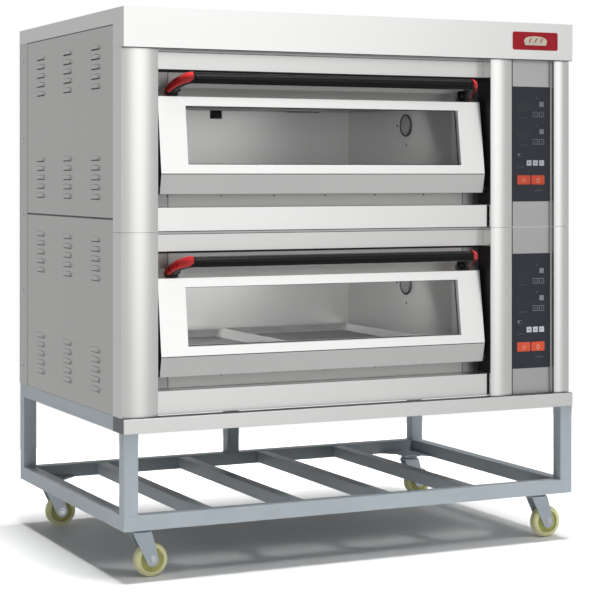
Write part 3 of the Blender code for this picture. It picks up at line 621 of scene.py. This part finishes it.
def build_panel_face(deck):
    """Face of the recessed panel, behind the keypad, in darker steel as painted shade."""
    low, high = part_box(f"{deck}_control_column")
    panel_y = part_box(f"{deck}_control_unit")[0].y + 0.0025
    start = (hood_low.x + PANEL_LEFT + 0.0014, panel_y - 0.0003, low.z + 0.001)
    end = (hood_low.x + PANEL_RIGHT - 0.0008, panel_y + 0.0001, high.z - 0.001)
    box_piece(f"{deck}_panel_face", [(start, end)], "panel")


def build_head_strip(deck):
    """Narrow strip over the lintel, in the darker niche steel as painted shade."""
    low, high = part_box(f"{deck}_lintel")
    strip = ((low.x, low.y + 0.001, high.z + 0.0012), (high.x, low.y + 0.0022, high.z + 0.006))
    box_piece(f"{deck}_head_strip", [strip], "niche")


def build_badge():
    """Badge plate with a plain loaf on it."""
    left, low_z = hood_low.x + BADGE_LEFT, hood_low.z + BADGE_RISE
    width, height = BADGE_SIZE
    front = hood_low.y
    shape = bmesh.new()
    outline = rounded_outline(left, left + width, low_z, low_z + height, 0.005)
    add_plate(shape, outline, front - 0.0014, 0.0016)
    piece("badge_plate", shape, "badge", "oven", bevel=0.0004)
    shape = bmesh.new()
    centre_x, centre_z = left + width / 2, low_z + height * 0.46
    loaf = []
    for step in range(25):
        angle = math.radians(180 * step / 24)
        loaf.append((centre_x + 0.034 * math.cos(angle), centre_z + 0.014 * math.sin(angle) ** 0.7))
    loaf += [(centre_x - 0.031, centre_z - 0.009), (centre_x + 0.031, centre_z - 0.009)]
    add_plate(shape, loaf, front - 0.002, 0.0008)
    piece("badge_loaf", shape, "cream", "oven", bevel=0.0002)
    shape = bmesh.new()
    for index in range(3):
        x = centre_x + (index - 1) * 0.017
        low, high = centre_z - 0.002, centre_z + 0.009
        slash = [(x - 0.004, low), (x - 0.001, low), (x + 0.005, high), (x + 0.002, high)]
        add_plate(shape, slash, front - 0.0023, 0.0005)
    piece("badge_scores", shape, "badge", "oven")


# ---- doors

def bar_axis(deck):
    low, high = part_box(f"{deck}_handle_bar")
    return low, high, (low.y + high.y) / 2, (low.z + high.z) / 2


def build_bar(deck):
    """Handle bar with a grooved collar at each end."""
    low, high, y, z = bar_axis(deck)
    shape = bmesh.new()
    length = high.x - low.x
    profile = [(0.0, BAR_RADIUS - 0.0012), (0.0012, BAR_RADIUS - 0.0002), (0.014, BAR_RADIUS - 0.0002),
               (0.0142, BAR_RADIUS - 0.0009), (0.0156, BAR_RADIUS - 0.0009), (0.0158, BAR_RADIUS)]
    profile += [(length - along, radius) for along, radius in reversed(profile)]
    add_turned(shape, (low.x, y, z), (1, 0, 0), profile, 64)
    piece(f"{deck}_handle_grip", shape, "bar", f"{deck}_door", [f"{deck}_handle_bar"])


def bezier(points, share):
    keep = 1 - share
    weights = (keep ** 3, 3 * keep ** 2 * share, 3 * keep * share ** 2, share ** 3)
    return sum((point * weight for point, weight in zip(points, weights)), Vector((0, 0, 0)))


def bracket_path(deck, side, steps):
    """Centre line of a handle bracket from the bar's end to its foot on the door's top slope."""
    low, high, bar_y, bar_z = bar_axis(deck)
    bracket_low, bracket_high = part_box(f"{deck}_handle_bracket_{side}")
    outward = OUTWARD[side]
    bar_end = low.x if side == "left" else high.x
    up = Vector((0, -0.653, 0.757))
    foot_x = bracket_low.x + 0.0105 if side == "left" else bracket_high.x - 0.0105
    foot = Vector((foot_x, bracket_high.y - 0.0079, bracket_low.z + 0.0069)) + up * 0.0001
    start = Vector((bar_end, bar_y, bar_z))
    above_foot = foot + up * 0.02 - Vector((outward * 0.008, 0, 0))
    control = [start, start + Vector((outward * 0.022, 0, 0)), above_foot, foot]
    return [bezier(control, index / steps) for index in range(steps + 1)], outward, up


def build_bracket(deck, side):
    """Curved black bracket with a round boss at its foot and a red cover along its outside."""
    steps = 26
    points, outward, up = bracket_path(deck, side, steps)
    lean = Vector((outward * 0.8, -0.45, 0.62))
    rings, cover = [], []
    for index, point in enumerate(points):
        share = index / steps
        run = (points[min(index + 1, steps)] - points[max(index - 1, 0)]).normalized()
        run = {0: Vector((outward, 0, 0)), steps: -up}.get(index, run)
        outer = (lean - run * lean.dot(run)).normalized()
        across = run.cross(outer)
        radius = 0.013 - 0.001 * share
        rings.append(ring_points(point, radius - 0.0004, 32, outer, across))
        if 1 <= index < steps:
            growing, ending = min(1.0, 0.55 + index / 8), min(1.0, 0.62 + (steps - index) / 9)
            reach = growing * (1.0 - 0.16 * share) * ending
            cover.append(crescent(point, radius, outer, across, math.radians(88) * reach))
    shape = bmesh.new()
    add_loft(shape, rings)
    boss = [(0.0, 0.0095), (0.0215, 0.0095), (0.023, 0.0085), (0.023, 0.006), (0.019, 0.0055)]
    add_turned(shape, points[-1] + up * 0.0105, (-outward, 0, 0), boss, 32)
    body, node = f"{deck}_door", f"{deck}_handle_bracket_{side}"
    piece(f"{deck}_{side}_bracket_arm", shape, "arm", body, [node])
    shape = bmesh.new()
    add_loft(shape, cover)
    piece(f"{deck}_{side}_bracket_cover", shape, "red", body, smooth=50)


def crescent(centre, radius, outer, across, reach):
    """Cross-section of the bracket's cover: an arc-shaped shell that thins out at both sides."""
    shares = [2 * index / 14 - 1 for index in range(15)]
    lifts = [(share, 0.0024 * (1 - share ** 4)) for share in shares]
    lifts += [(share, -0.0012) for share in reversed(shares)]
    points = []
    for share, lift in lifts:
        way = outer * math.cos(reach * share) + across * math.sin(reach * share)
        points.append(centre + way * (radius + lift))
    return points


def build_window_seal(deck):
    """Black rubber strip round the window, between the door's sheet and the glass."""
    low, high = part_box(f"{deck}_door_glass")
    margin, lift = 0.0016, 0.0035
    slope = 0.025 / 0.1805
    front = low.y - 0.0002
    shape = bmesh.new()
    loops = []
    for inset, rise in ((0.0, 0.0), (0.0, lift), (margin, lift), (margin, 0.0)):
        left, right, bottom, top = low.x + inset, high.x - inset, low.z + inset, high.z - inset
        corners = ((left, bottom), (right, bottom), (right, top), (left, top))
        points = [(x, front - rise + (z - low.z) * slope, z) for x, z in corners]
        loops.append([shape.verts.new(point) for point in points])
    join_loops(shape, loops + loops[:1])
    piece(f"{deck}_window_seal", shape, "rubber", f"{deck}_door", bevel=0.0008)


def build_crease(deck):
    """Painted shade: a dark line under the door's crease, and dark collars on its two pivots."""
    low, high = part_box(f"{deck}_door_shell")
    crease_z = low.z + 0.048
    lean_back, lean_down = 0.204, 0.979
    shape = bmesh.new()
    rings = []
    for x in (low.x + 0.016, high.x - 0.016):
        ring = []
        for drop, lift in ((0.0003, 0.0003), (0.0021, 0.0003), (0.0021, -0.0006), (0.0003, -0.0006)):
            y = low.y + drop * lean_back - lift * lean_down
            ring.append((x, y, crease_z - drop * lean_down - lift * lean_back))
        rings.append(ring)
    add_loft(shape, rings)
    for x in (low.x + 0.0048, high.x - 0.0152):
        collar = [(0.0, 0.0078), (0.0104, 0.0078)]
        add_turned(shape, (x, low.y + 0.014, low.z + 0.01), (1, 0, 0), collar, 32)
    piece(f"{deck}_crease", shape, "shade", f"{deck}_door", bevel=0.0002)


# ---- control units

def build_keypad(deck):
    """Keypad plate, its box behind and its print, placed by shares of the plate's width and height."""
    low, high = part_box(f"{deck}_control_unit")
    front, back = low.y, low.y + 0.0022
    shape = bmesh.new()
    wells = []
    for use in ("power", "lamp"):
        key_low, key_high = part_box(f"{deck}_{use}_key")
        left, right = key_low.x - KEY_EXTRA - WELL_GAP, key_high.x + KEY_EXTRA + WELL_GAP
        wells.append(rounded_outline(left, right, key_low.z - WELL_GAP, key_high.z + WELL_GAP, 0.0028))
    outline = rounded_outline(low.x, high.x, low.z, high.z, 0.003)
    add_plate_with_wells(shape, outline, wells, front, 0.0022, 0.0021)
    inside = 0.01
    box_end = (high.x - inside, high.y, high.z - inside)
    add_box(shape, (low.x + inside, back, low.z + inside), box_end)
    node = f"{deck}_control_unit"
    piece(f"{deck}_keypad_plate", shape, "film", "oven", [node], bevel=0.0004)
    width, height = high.x - low.x, high.z - low.z
    looks = ("display", "print_dim", "print_grey", "print_white", "print_dark")
    parts = {look: bmesh.new() for look in looks}

    def block(look, left, top, right, bottom, proud=0.0002):
        start = (low.x + left * width, front - proud, high.z - bottom * height)
        end = (low.x + right * width, front + 0.0004, high.z - top * height)
        add_box(parts[look], start, end)

    def frame_block(look, left, top, right, bottom, line=0.011):
        rise = line * width / height
        block(look, left, top, right, top + rise)
        block(look, left, bottom - rise, right, bottom)
        block(look, left, top + rise, left + line, bottom - rise)
        block(look, right - line, top + rise, right, bottom - rise)

    for top in (0.14, 0.378):
        block("display", 0.12, top, 0.5, top + 0.08, 0.0003)
        block("print_grey", 0.722, top - 0.01, 0.835, top + 0.034)
        block("print_dim", 0.64, top - 0.048, 0.665, top - 0.032)
        for left in (0.551, 0.711):
            frame_block("print_grey", left, top + 0.078, left + 0.13, top + 0.124)
            block("print_dim", left + 0.045, top + 0.093, left + 0.085, top + 0.109)
        for index in range(4):
            left = 0.195 + index * 0.05
            block("print_dim", left, top + 0.129, left + 0.037, top + 0.135)
    block("print_grey", 0.16, 0.582, 0.205, 0.6)
    block("print_dim", 0.22, 0.582, 0.275, 0.59)
    block("print_dim", 0.16, 0.606, 0.26, 0.612)
    for left in (0.391, 0.555, 0.717):
        block("print_white", left, 0.641, left + 0.122, 0.688, 0.0004)
        block("print_dark", left + 0.035, 0.661, left + 0.087, 0.668, 0.0005)
    block("print_dark", 0.446, 0.653, 0.458, 0.676, 0.0005)
    for index in range(3):
        block("print_dim", 0.16 + index * 0.055, 0.697, 0.2 + index * 0.055, 0.703)
        block("print_dim", 0.61 + index * 0.07, 0.902, 0.665 + index * 0.07, 0.909)
    for look, shape in parts.items():
        piece(f"{deck}_{look}", shape, look, "oven")


def build_key(deck, use):
    """Orange-red key with softly rounded edges and a cream sign: a power ring or a lamp."""
    node = f"{deck}_{use}_key"
    low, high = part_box(node)
    shape = bmesh.new()
    outline = rounded_outline(low.x - KEY_EXTRA, high.x + KEY_EXTRA, low.z, high.z, 0.0025)
    add_plate(shape, outline, low.y, high.y - low.y)
    piece(f"{deck}_{use}_key_cap", shape, "orange", node, [node], bevel=0.0006, segments=3)
    centre = Vector(((low.x + high.x) / 2, low.y - 0.00005, (low.z + high.z) / 2 - 0.001))
    if use == "power":
        lines = [arc((0, 0), 0.0042, 125, 415, 24), [(0, 0.0008), (0, 0.0058)]]
    else:
        lines = [arc((0, 0), 0.0042, -50, 230, 24)]
        lines += [[(-0.002, -drop), (0.002, -drop)] for drop in (0.0044, 0.0058)]
    shape = bmesh.new()
    for line in lines:
        add_tube(shape, [centre + Vector((x, 0, z)) for x, z in line], 0.00042, 8)
    piece(f"{deck}_{use}_key_sign", shape, "cream", node)


# ---- chambers

def build_lamp(deck):
    """Domed lamp lens in a dark ring with two screws, on the chamber's right wall."""
    low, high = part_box(f"{deck}_lamp_cover")
    wall, middle_y, middle_z = high.x, (low.y + high.y) / 2, (low.z + high.z) / 2
    radius = (high.y - low.y) / 2

    def on_wall(away, reach, around):
        return wall - away, middle_y + reach * math.cos(around), middle_z + reach * math.sin(around)

    shape = bmesh.new()
    profile = [(0.0, radius - 0.004), (0.003, radius - 0.004), (0.0045, radius - 0.008),
               (0.0056, radius - 0.016), (0.006, 0.002)]
    add_turned(shape, (wall, middle_y, middle_z), (-1, 0, 0), profile)
    cover = f"{deck}_lamp_cover"
    piece(f"{deck}_lamp_lens", shape, "lamp", "oven", [cover], smooth=50)
    shape = bmesh.new()
    steps, sides, tube = 48, 8, 0.0026
    turns = [2 * math.pi * index / sides for index in range(sides)]
    section = [(tube + tube * math.sin(turn), radius - 0.0028 + tube * math.cos(turn)) for turn in turns]
    loops = []
    for step in range(steps):
        around = 2 * math.pi * step / steps
        loops.append([shape.verts.new(on_wall(away, reach, around)) for away, reach in section])
    join_loops(shape, loops + loops[:1])
    for degrees in (0, 270):
        add_screw(shape, on_wall(0.0, radius + 0.022, math.radians(degrees)), (-1, 0, 0), 0.003)
    piece(f"{deck}_lamp_ring", shape, "screw", "oven")


def build_heater(deck, place):
    """Heating tube: four passes with round bends, both ends out through the right wall."""
    node = f"{deck}_{place}_heater"
    low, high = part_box(node)
    height = (low.z + high.z) / 2
    lanes = [low.y + 0.004 + 0.175 * index for index in range(4)]
    left_turn, right_turn, bend = low.x + 0.034, low.x + 0.714, 0.03
    points = [(high.x, lanes[0], height), (right_turn, lanes[0], height)]
    for index in range(1, 4):
        turn_x, outward = (left_turn, -1) if index % 2 else (right_turn, 1)
        curve = arc((0, lanes[index - 1] + bend), bend, -90, 0, 6)
        curve += arc((0, lanes[index] - bend), bend, 0, 90, 6)
        points += [(turn_x + outward * reach, y, height) for reach, y in curve]
    run_x, end_y = high.x - 0.064, lanes[0] + 0.12
    tail = [(run_x - 0.036, lanes[3]), (run_x - 0.012, lanes[3] - 0.01), (run_x, lanes[3] - 0.034),
            (run_x, end_y + 0.024), (run_x + 0.004, end_y + 0.01), (run_x + 0.0145, end_y + 0.001),
            (high.x, end_y)]
    points += [(x, y, height) for x, y in tail]
    shape = bmesh.new()
    add_tube(shape, points, 0.004, 14)
    piece(f"{node}_tube", shape, "heater", "oven", [node])
    if place == "top":
        clip_x, clip_y = hood_low.x + 0.73, lanes[3]
        clip_end = (clip_x + 0.095, clip_y + 0.008, low.z - 0.0002)
        clip = ((clip_x, clip_y - 0.008, low.z - 0.002), clip_end)
        box_piece(f"{deck}_heater_clip", [clip], "shade")


def build_tray(side):
    """Baking tray with flared walls, round corners and a rolled rim, and a darker floor."""
    node = f"baking_tray_{side}"
    low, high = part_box(node)
    sections = [(-0.017, 0.0000), (-0.015, 0.0006), (-0.0066, 0.0155), (-0.0056, 0.0165)]
    sections += arc((-0.0026, 0.0184), 0.0026, -90, 110, 8)
    sections += [(-0.0068, 0.0178), (-0.0166, 0.0022), (-0.0186, 0.0014), (-0.03, 0.0012)]

    def outline(grow, radius):
        return rounded_outline(low.x - grow, high.x + grow, low.y - grow, high.y + grow, radius, 8)

    rings = []
    for grow, height in sections:
        rings.append([(x, y, low.z + height) for x, y in outline(grow, 0.03 + grow * 0.9)])
    shape = bmesh.new()
    add_loft(shape, rings)
    piece(f"{side}_tray_pan", shape, "tray", f"tray_{side}", [node], smooth=60)
    shape = bmesh.new()
    add_slab(shape, outline(-0.019, 0.013), low.z + 0.0008, low.z + 0.0017)
    piece(f"{side}_tray_floor", shape, "pan", f"tray_{side}", bevel=0.0003)


# ---- stand and casters

def add_bead(shape, start, end, radius=0.0026):
    """Short weld bead with ripples along it and thin ends."""
    start, end = Vector(start), Vector(end)
    count = 16
    points = [start.lerp(end, index / count) for index in range(count + 1)]
    radii = [radius * (0.82 + 0.18 * math.cos(index * 2.4)) for index in range(count + 1)]
    radii[0] *= 0.55
    radii[-1] *= 0.55
    add_tube(shape, points, radii, 8)


def build_welds():
    """Weld beads where the legs and the slats meet the stand's rings."""
    low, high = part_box("stand_lower_frame")
    rail_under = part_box("stand_upper_frame")[1].z - STAND_TUBE
    shape = bmesh.new()
    for x, inner_x in ((low.x, low.x + STAND_TUBE), (high.x, high.x - STAND_TUBE)):
        for y, inner_y in ((low.y, low.y + STAND_TUBE), (high.y, high.y - STAND_TUBE)):
            for height in (high.z, rail_under):
                add_bead(shape, (inner_x, y, height), (inner_x, inner_y, height))
                add_bead(shape, (x, inner_y, height), (inner_x, inner_y, height))
    middle = hood_low.x + MIDDLE_LEG
    for x in (middle - STAND_TUBE / 2, middle + STAND_TUBE / 2):
        for height in (high.z, rail_under):
            add_bead(shape, (x, high.y - STAND_TUBE, height), (x, high.y, height))
    for index in range(4):
        centre = hood_low.x + SLAT_START + SLAT_PITCH * index
        left, right = centre - SLAT_HALF, centre + SLAT_HALF
        for y in (low.y + STAND_TUBE, high.y - STAND_TUBE):
            add_bead(shape, (left, y, high.z - 0.001), (right, y, high.z - 0.001), 0.002)
            for x in (left, right):
                add_bead(shape, (x, y, high.z - 0.029), (x, y, high.z - 0.002), 0.002)
    piece("stand_welds", shape, "paint", "oven", smooth=60)


def build_cap():
    """Stainless cap on the front rail: a front plate, two returns painted dark as a painted reflection of the
    shade under the oven, and a black strip on the ledge as painted shadow.
    """
    low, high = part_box("stand_front_cap")
    plate = (tuple(low), (high.x, low.y + 0.0012, high.z))
    box_piece("cap_front", [plate], "front", replaces=["stand_front_cap"], bevel=0.0005)
    returns = []
    for x in (low.x + 0.0002, high.x - 0.0014):
        returns.append(((x, low.y + 0.0013, low.z), (x + 0.0012, high.y, high.z)))
    box_piece("cap_returns", returns, "return", bevel=0.0003)
    # black strip on the ledge: painted shadow where the oven sits on the cap
    seal = ((low.x + 0.002, low.y + 0.0014, high.z), (high.x - 0.002, low.y + 0.032, high.z + 0.0004))
    box_piece("ledge_shadow_strip", [seal], "rubber")


def build_wheel(corner):
    """Wheel in two pieces: a moulded hub with a recessed web, and a tyre with round shoulders."""
    node = f"{corner}_wheel"
    half = WHEEL_WIDTH / 2
    hub = [(half, 0.0052), (half, 0.0125), (half - 0.0008, 0.0135), (half - 0.0045, 0.0145),
           (half - 0.005, 0.016), (half - 0.005, 0.026), (half - 0.0042, 0.0275), (half - 0.0012, 0.0285)]
    tyre = [(half - 0.0008, 0.0283), (half - 0.0004, 0.03), (half - 0.0006, 0.0335),
            (half - 0.002, 0.037), (half - 0.0045, 0.0392), (half - 0.0075, WHEEL_RADIUS)]
    for name, profile in (("hub", hub), ("tyre", tyre)):
        shape = bmesh.new()
        mirrored = [(-along, radius) for along, radius in reversed(profile)]
        add_hoop(shape, centre_of(node), profile + mirrored, 72)
        piece(f"{corner}_wheel_{name}", shape, name, node, [node], smooth=40)


def build_yoke(corner):
    """Pressed yoke: round crown, two tapering cheeks with rounded ends, axle bolt, nuts and washers."""
    node = f"{corner}_yoke"
    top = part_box(node)[1].z
    centre = centre_of(f"{corner}_caster_plate")
    axle_x, axle_z = centre.x + CASTER_TRAIL, centre_of(f"{corner}_wheel").z
    shape = bmesh.new()
    crown = [(0.0, 0.012), (0.0, 0.0245), (-0.0012, 0.0258), (-0.003, 0.0258), (-0.0042, 0.024),
             (-0.0042, 0.01)]
    add_turned(shape, (centre.x, centre.y, top), (0, 0, 1), crown)
    outline = [(centre.x + 0.0215, top - 0.001), (centre.x - 0.0205, top - 0.001),
               (centre.x - 0.0215, top - 0.006), *arc((axle_x, axle_z), 0.0155, 205, 355, 16),
               (centre.x + 0.0245, top - 0.006)]
    inside = WHEEL_WIDTH / 2 + 0.0016
    for start in (centre.y - inside - CHEEK, centre.y + inside):
        add_plate(shape, outline, start, CHEEK)
    piece(f"{corner}_yoke_press", shape, "zinc", f"{corner}_swivel", [node], bevel=0.0007, segments=3)
    washer = [(0, 0.0092), (0.001, 0.0092), (0.0011, 0.0086)]
    nut = [(0.001, 0.0074), (0.0042, 0.0074), (0.005, 0.0062)]
    bolt_end = [(0.004, 0.0042), (0.0056, 0.0042), (0.006, 0.0034)]
    shape = bmesh.new()
    for side in (-1, 1):
        base = (axle_x, centre.y + side * (inside + CHEEK), axle_z)
        for profile, sides in ((washer, 32), (nut, 6), (bolt_end, 20)):
            add_turned(shape, base, (0, side, 0), profile, sides)
    add_turned(shape, (axle_x, centre.y - inside, axle_z), (0, 1, 0), [(0, 0.004), (2 * inside, 0.004)], 20)
    piece(f"{corner}_axle_bolt", shape, "bolt", f"{corner}_swivel", smooth=25, bevel=0.0003)


def build_caster_plate(corner):
    """Top plate with rounded corners, the ball race under it and four bolt heads."""
    node = f"{corner}_caster_plate"
    low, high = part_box(node)
    centre = centre_of(node)
    shape = bmesh.new()
    add_slab(shape, rounded_outline(low.x, high.x, low.y, high.y, 0.006), high.z - 0.003, high.z)
    race = [(0.0, 0.01), (0.0, 0.0205), (0.0012, 0.0232), (0.0035, 0.024), (0.0052, 0.0228),
            (0.0058, 0.0205), (0.0082, 0.02)]
    add_turned(shape, (centre.x, centre.y, low.z), (0, 0, 1), race)
    bolt = [(0, 0.0055), (0.0032, 0.0055), (0.0038, 0.0046)]
    for x in (low.x + 0.009, high.x - 0.009):
        for y in (low.y + 0.009, high.y - 0.009):
            add_turned(shape, (x, y, high.z - 0.0029), (0, 0, -1), bolt, 6)
    piece(f"{corner}_swivel_race", shape, "zinc", "oven", [node], bevel=0.0005)


def build_cable_entry():
    """Rubber grommet in the rear cover's cable hole."""
    centre = Vector((hood_low.x + 1.1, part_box("rear_cover")[1].y - 0.004, 0.47))
    profile = [(-0.004, 0.0125), (0.004, 0.0125), (0.0042, 0.0165), (0.0055, 0.017), (0.0066, 0.016),
               (0.0066, 0.009), (-0.004, 0.0085)]
    shape = bmesh.new()
    add_hoop(shape, centre, profile, 40)
    piece("cable_grommet", shape, "rubber", "oven", smooth=40)


# ---- studio

def build_floor():
    shape = bmesh.new()
    low_x, high_x, low_y, high_y = FLOOR_EDGES
    corners = ((low_x, low_y, 0.0), (high_x, low_y, 0.0), (high_x, high_y, 0.0), (low_x, high_y, 0.0))
    shape.faces.new([shape.verts.new(corner) for corner in corners])
    mesh = bpy.data.meshes.new("studio_floor")
    shape.to_mesh(mesh)
    shape.free()
    material, tree, shader = new_material("pale_floor")
    tint = colour_between(tree, noise(tree, 1.5), (0.88, 0.88, 0.88), (0.9, 0.9, 0.9))
    feed(tree, shader, {"Base Color": tint, "Roughness": 0.6})
    mesh.materials.append(material)
    floor = new_object("studio_floor", mesh)
    floor.location.z = -0.0005
    floor.visible_glossy = False


def direction(azimuth, elevation):
    """Unit vector: azimuth 0 points to -Y, in front of the oven, and 90 to +X."""
    turn, rise = math.radians(azimuth), math.radians(elevation)
    return (math.sin(turn) * math.cos(rise), -math.cos(turn) * math.cos(rise), math.sin(rise))


def panel_level(tree, coords, towards, inner, outer, level, squash):
    """Brightness of a soft panel, full within inner degrees of its middle; squash below 1 makes it taller."""
    flat = compute(tree, "VectorMath", "MULTIPLY", coords, (1.0, 1.0, squash))
    unit = compute(tree, "VectorMath", "NORMALIZE", flat)
    facing = compute(tree, "VectorMath", "DOT_PRODUCT", unit, towards)
    far, near = math.cos(math.radians(outer)), math.cos(math.radians(inner))
    return spread(tree, facing, 0.0, level, far, near, "SMOOTHSTEP")


# Soft panels: direction, inner and outer degrees, brightness and squash.
PANELS = (
    (direction(19, 8), 7, 18, 0.9, 0.72),
    (direction(-28, 5), 10, 26, 0.28, 1.0),
    (direction(-95, 0), 20, 60, -0.3, 1.0),
    (direction(90, 66), 16, 34, 1.00, 1.0),
    (direction(27, 52), 3, 8, 20.0, 1.0),
)
SKY_LEVEL = 0.57
DIFFUSE_SHARE = 0.33


def build_world():
    """Pale studio: even grey with soft bright panels and a dim left side, and plain white to the camera."""
    world = bpy.data.worlds.new("studio")
    bpy.context.scene.world = world
    world.use_nodes = True
    tree = world.node_tree
    white = (1.0, 1.0, 1.0, 1.0)
    coords = tree.nodes.new("ShaderNodeTexCoord").outputs["Generated"]
    total = SKY_LEVEL
    for panel in PANELS:
        total = compute(tree, "Math", "ADD", panel_level(tree, coords, *panel), total)
    path = tree.nodes.new("ShaderNodeLightPath").outputs
    share = spread(tree, path["Is Diffuse Ray"], 1.0, DIFFUSE_SHARE, 0.0, 1.0)
    light = tree.nodes["Background"]
    feed(tree, light, {"Color": white, "Strength": compute(tree, "Math", "MULTIPLY", total, share)})
    backdrop = add_node(tree, "Background", {"Color": white})
    shaders = {"Fac": path["Is Camera Ray"], 1: light.outputs[0], 2: backdrop.outputs[0]}
    mix = add_node(tree, "MixShader", shaders)
    feed(tree, tree.nodes["World Output"], {"Surface": mix.outputs["Shader"]})


def add_area(name, place, target, size, power):
    light = bpy.data.lights.new(name, "AREA")
    light.shape = "RECTANGLE"
    light.size, light.size_y = size
    light.energy = power
    lamp = new_object(name, light)
    lamp.location = place
    lamp.rotation_euler = (Vector(target) - Vector(place)).to_track_quat("-Z", "Y").to_euler()
    lamp.visible_camera = False
    return lamp


def build_lights():
    """Soft lights above and in front, unseen in reflections, and a fill under each chamber's top heater."""
    overhead = add_area("overhead_soft", (0.0, -0.35, 8.0), (0, 0, 0), (2.4, 2.4), 1300)
    front = add_area("front_soft", (1.2, -3.4, 4.2), (0, 0, 0.6), (3.0, 3.0), 16)
    for lamp in (overhead, front):
        lamp.visible_glossy = False
    for deck in DECKS:
        low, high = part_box(f"{deck}_chamber_liner")
        middle = (low.x + high.x) / 2
        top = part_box(f"{deck}_top_heater")[0].z - 0.004
        place, target = (middle, low.y + 0.2, top), (middle, low.y + 0.36, top - 0.1)
        add_area(f"{deck}_chamber_fill", place, target, (0.7, 0.2), CHAMBER_POWER[deck])


def build_camera():
    data = bpy.data.cameras.new("studio_camera")
    data.sensor_width = 36.0
    data.lens = CAMERA_LENS
    data.shift_y = CAMERA_SHIFT
    camera = new_object("studio_camera", data)
    camera.location = (hood_low.x - CAMERA_LEFT, hood_low.y - CAMERA_FORWARD, CAMERA_HEIGHT)
    camera.rotation_euler = (math.radians(90), 0, math.radians(CAMERA_TURN))
    bpy.context.scene.camera = camera


def main():
    bpy.context.scene.view_settings.view_transform = "Standard"
    build_camera()
    dress_cad_nodes()
    for deck in DECKS:
        for side in SIDES:
            build_side_panel(side, deck)
            build_side_lines(side, deck)
            build_bracket(deck, side)
        build_pillar_faces(deck)
        build_niche_posts(deck)
        build_shaded_walls(deck)
        build_panel_face(deck)
        build_head_strip(deck)
        build_bar(deck)
        build_window_seal(deck)
        build_crease(deck)
        build_keypad(deck)
        for use in ("power", "lamp"):
            build_key(deck, use)
        build_lamp(deck)
        for place in ("bottom", "top"):
            build_heater(deck, place)
    for side in SIDES:
        build_tray(side)
    build_screws()
    build_badge()
    build_hood_edge()
    build_welds()
    build_cap()
    for corner in CORNERS:
        build_caster_plate(corner)
        build_yoke(corner)
        build_wheel(corner)
    build_cable_entry()
    build_floor()
    build_world()
    build_lights()


main()
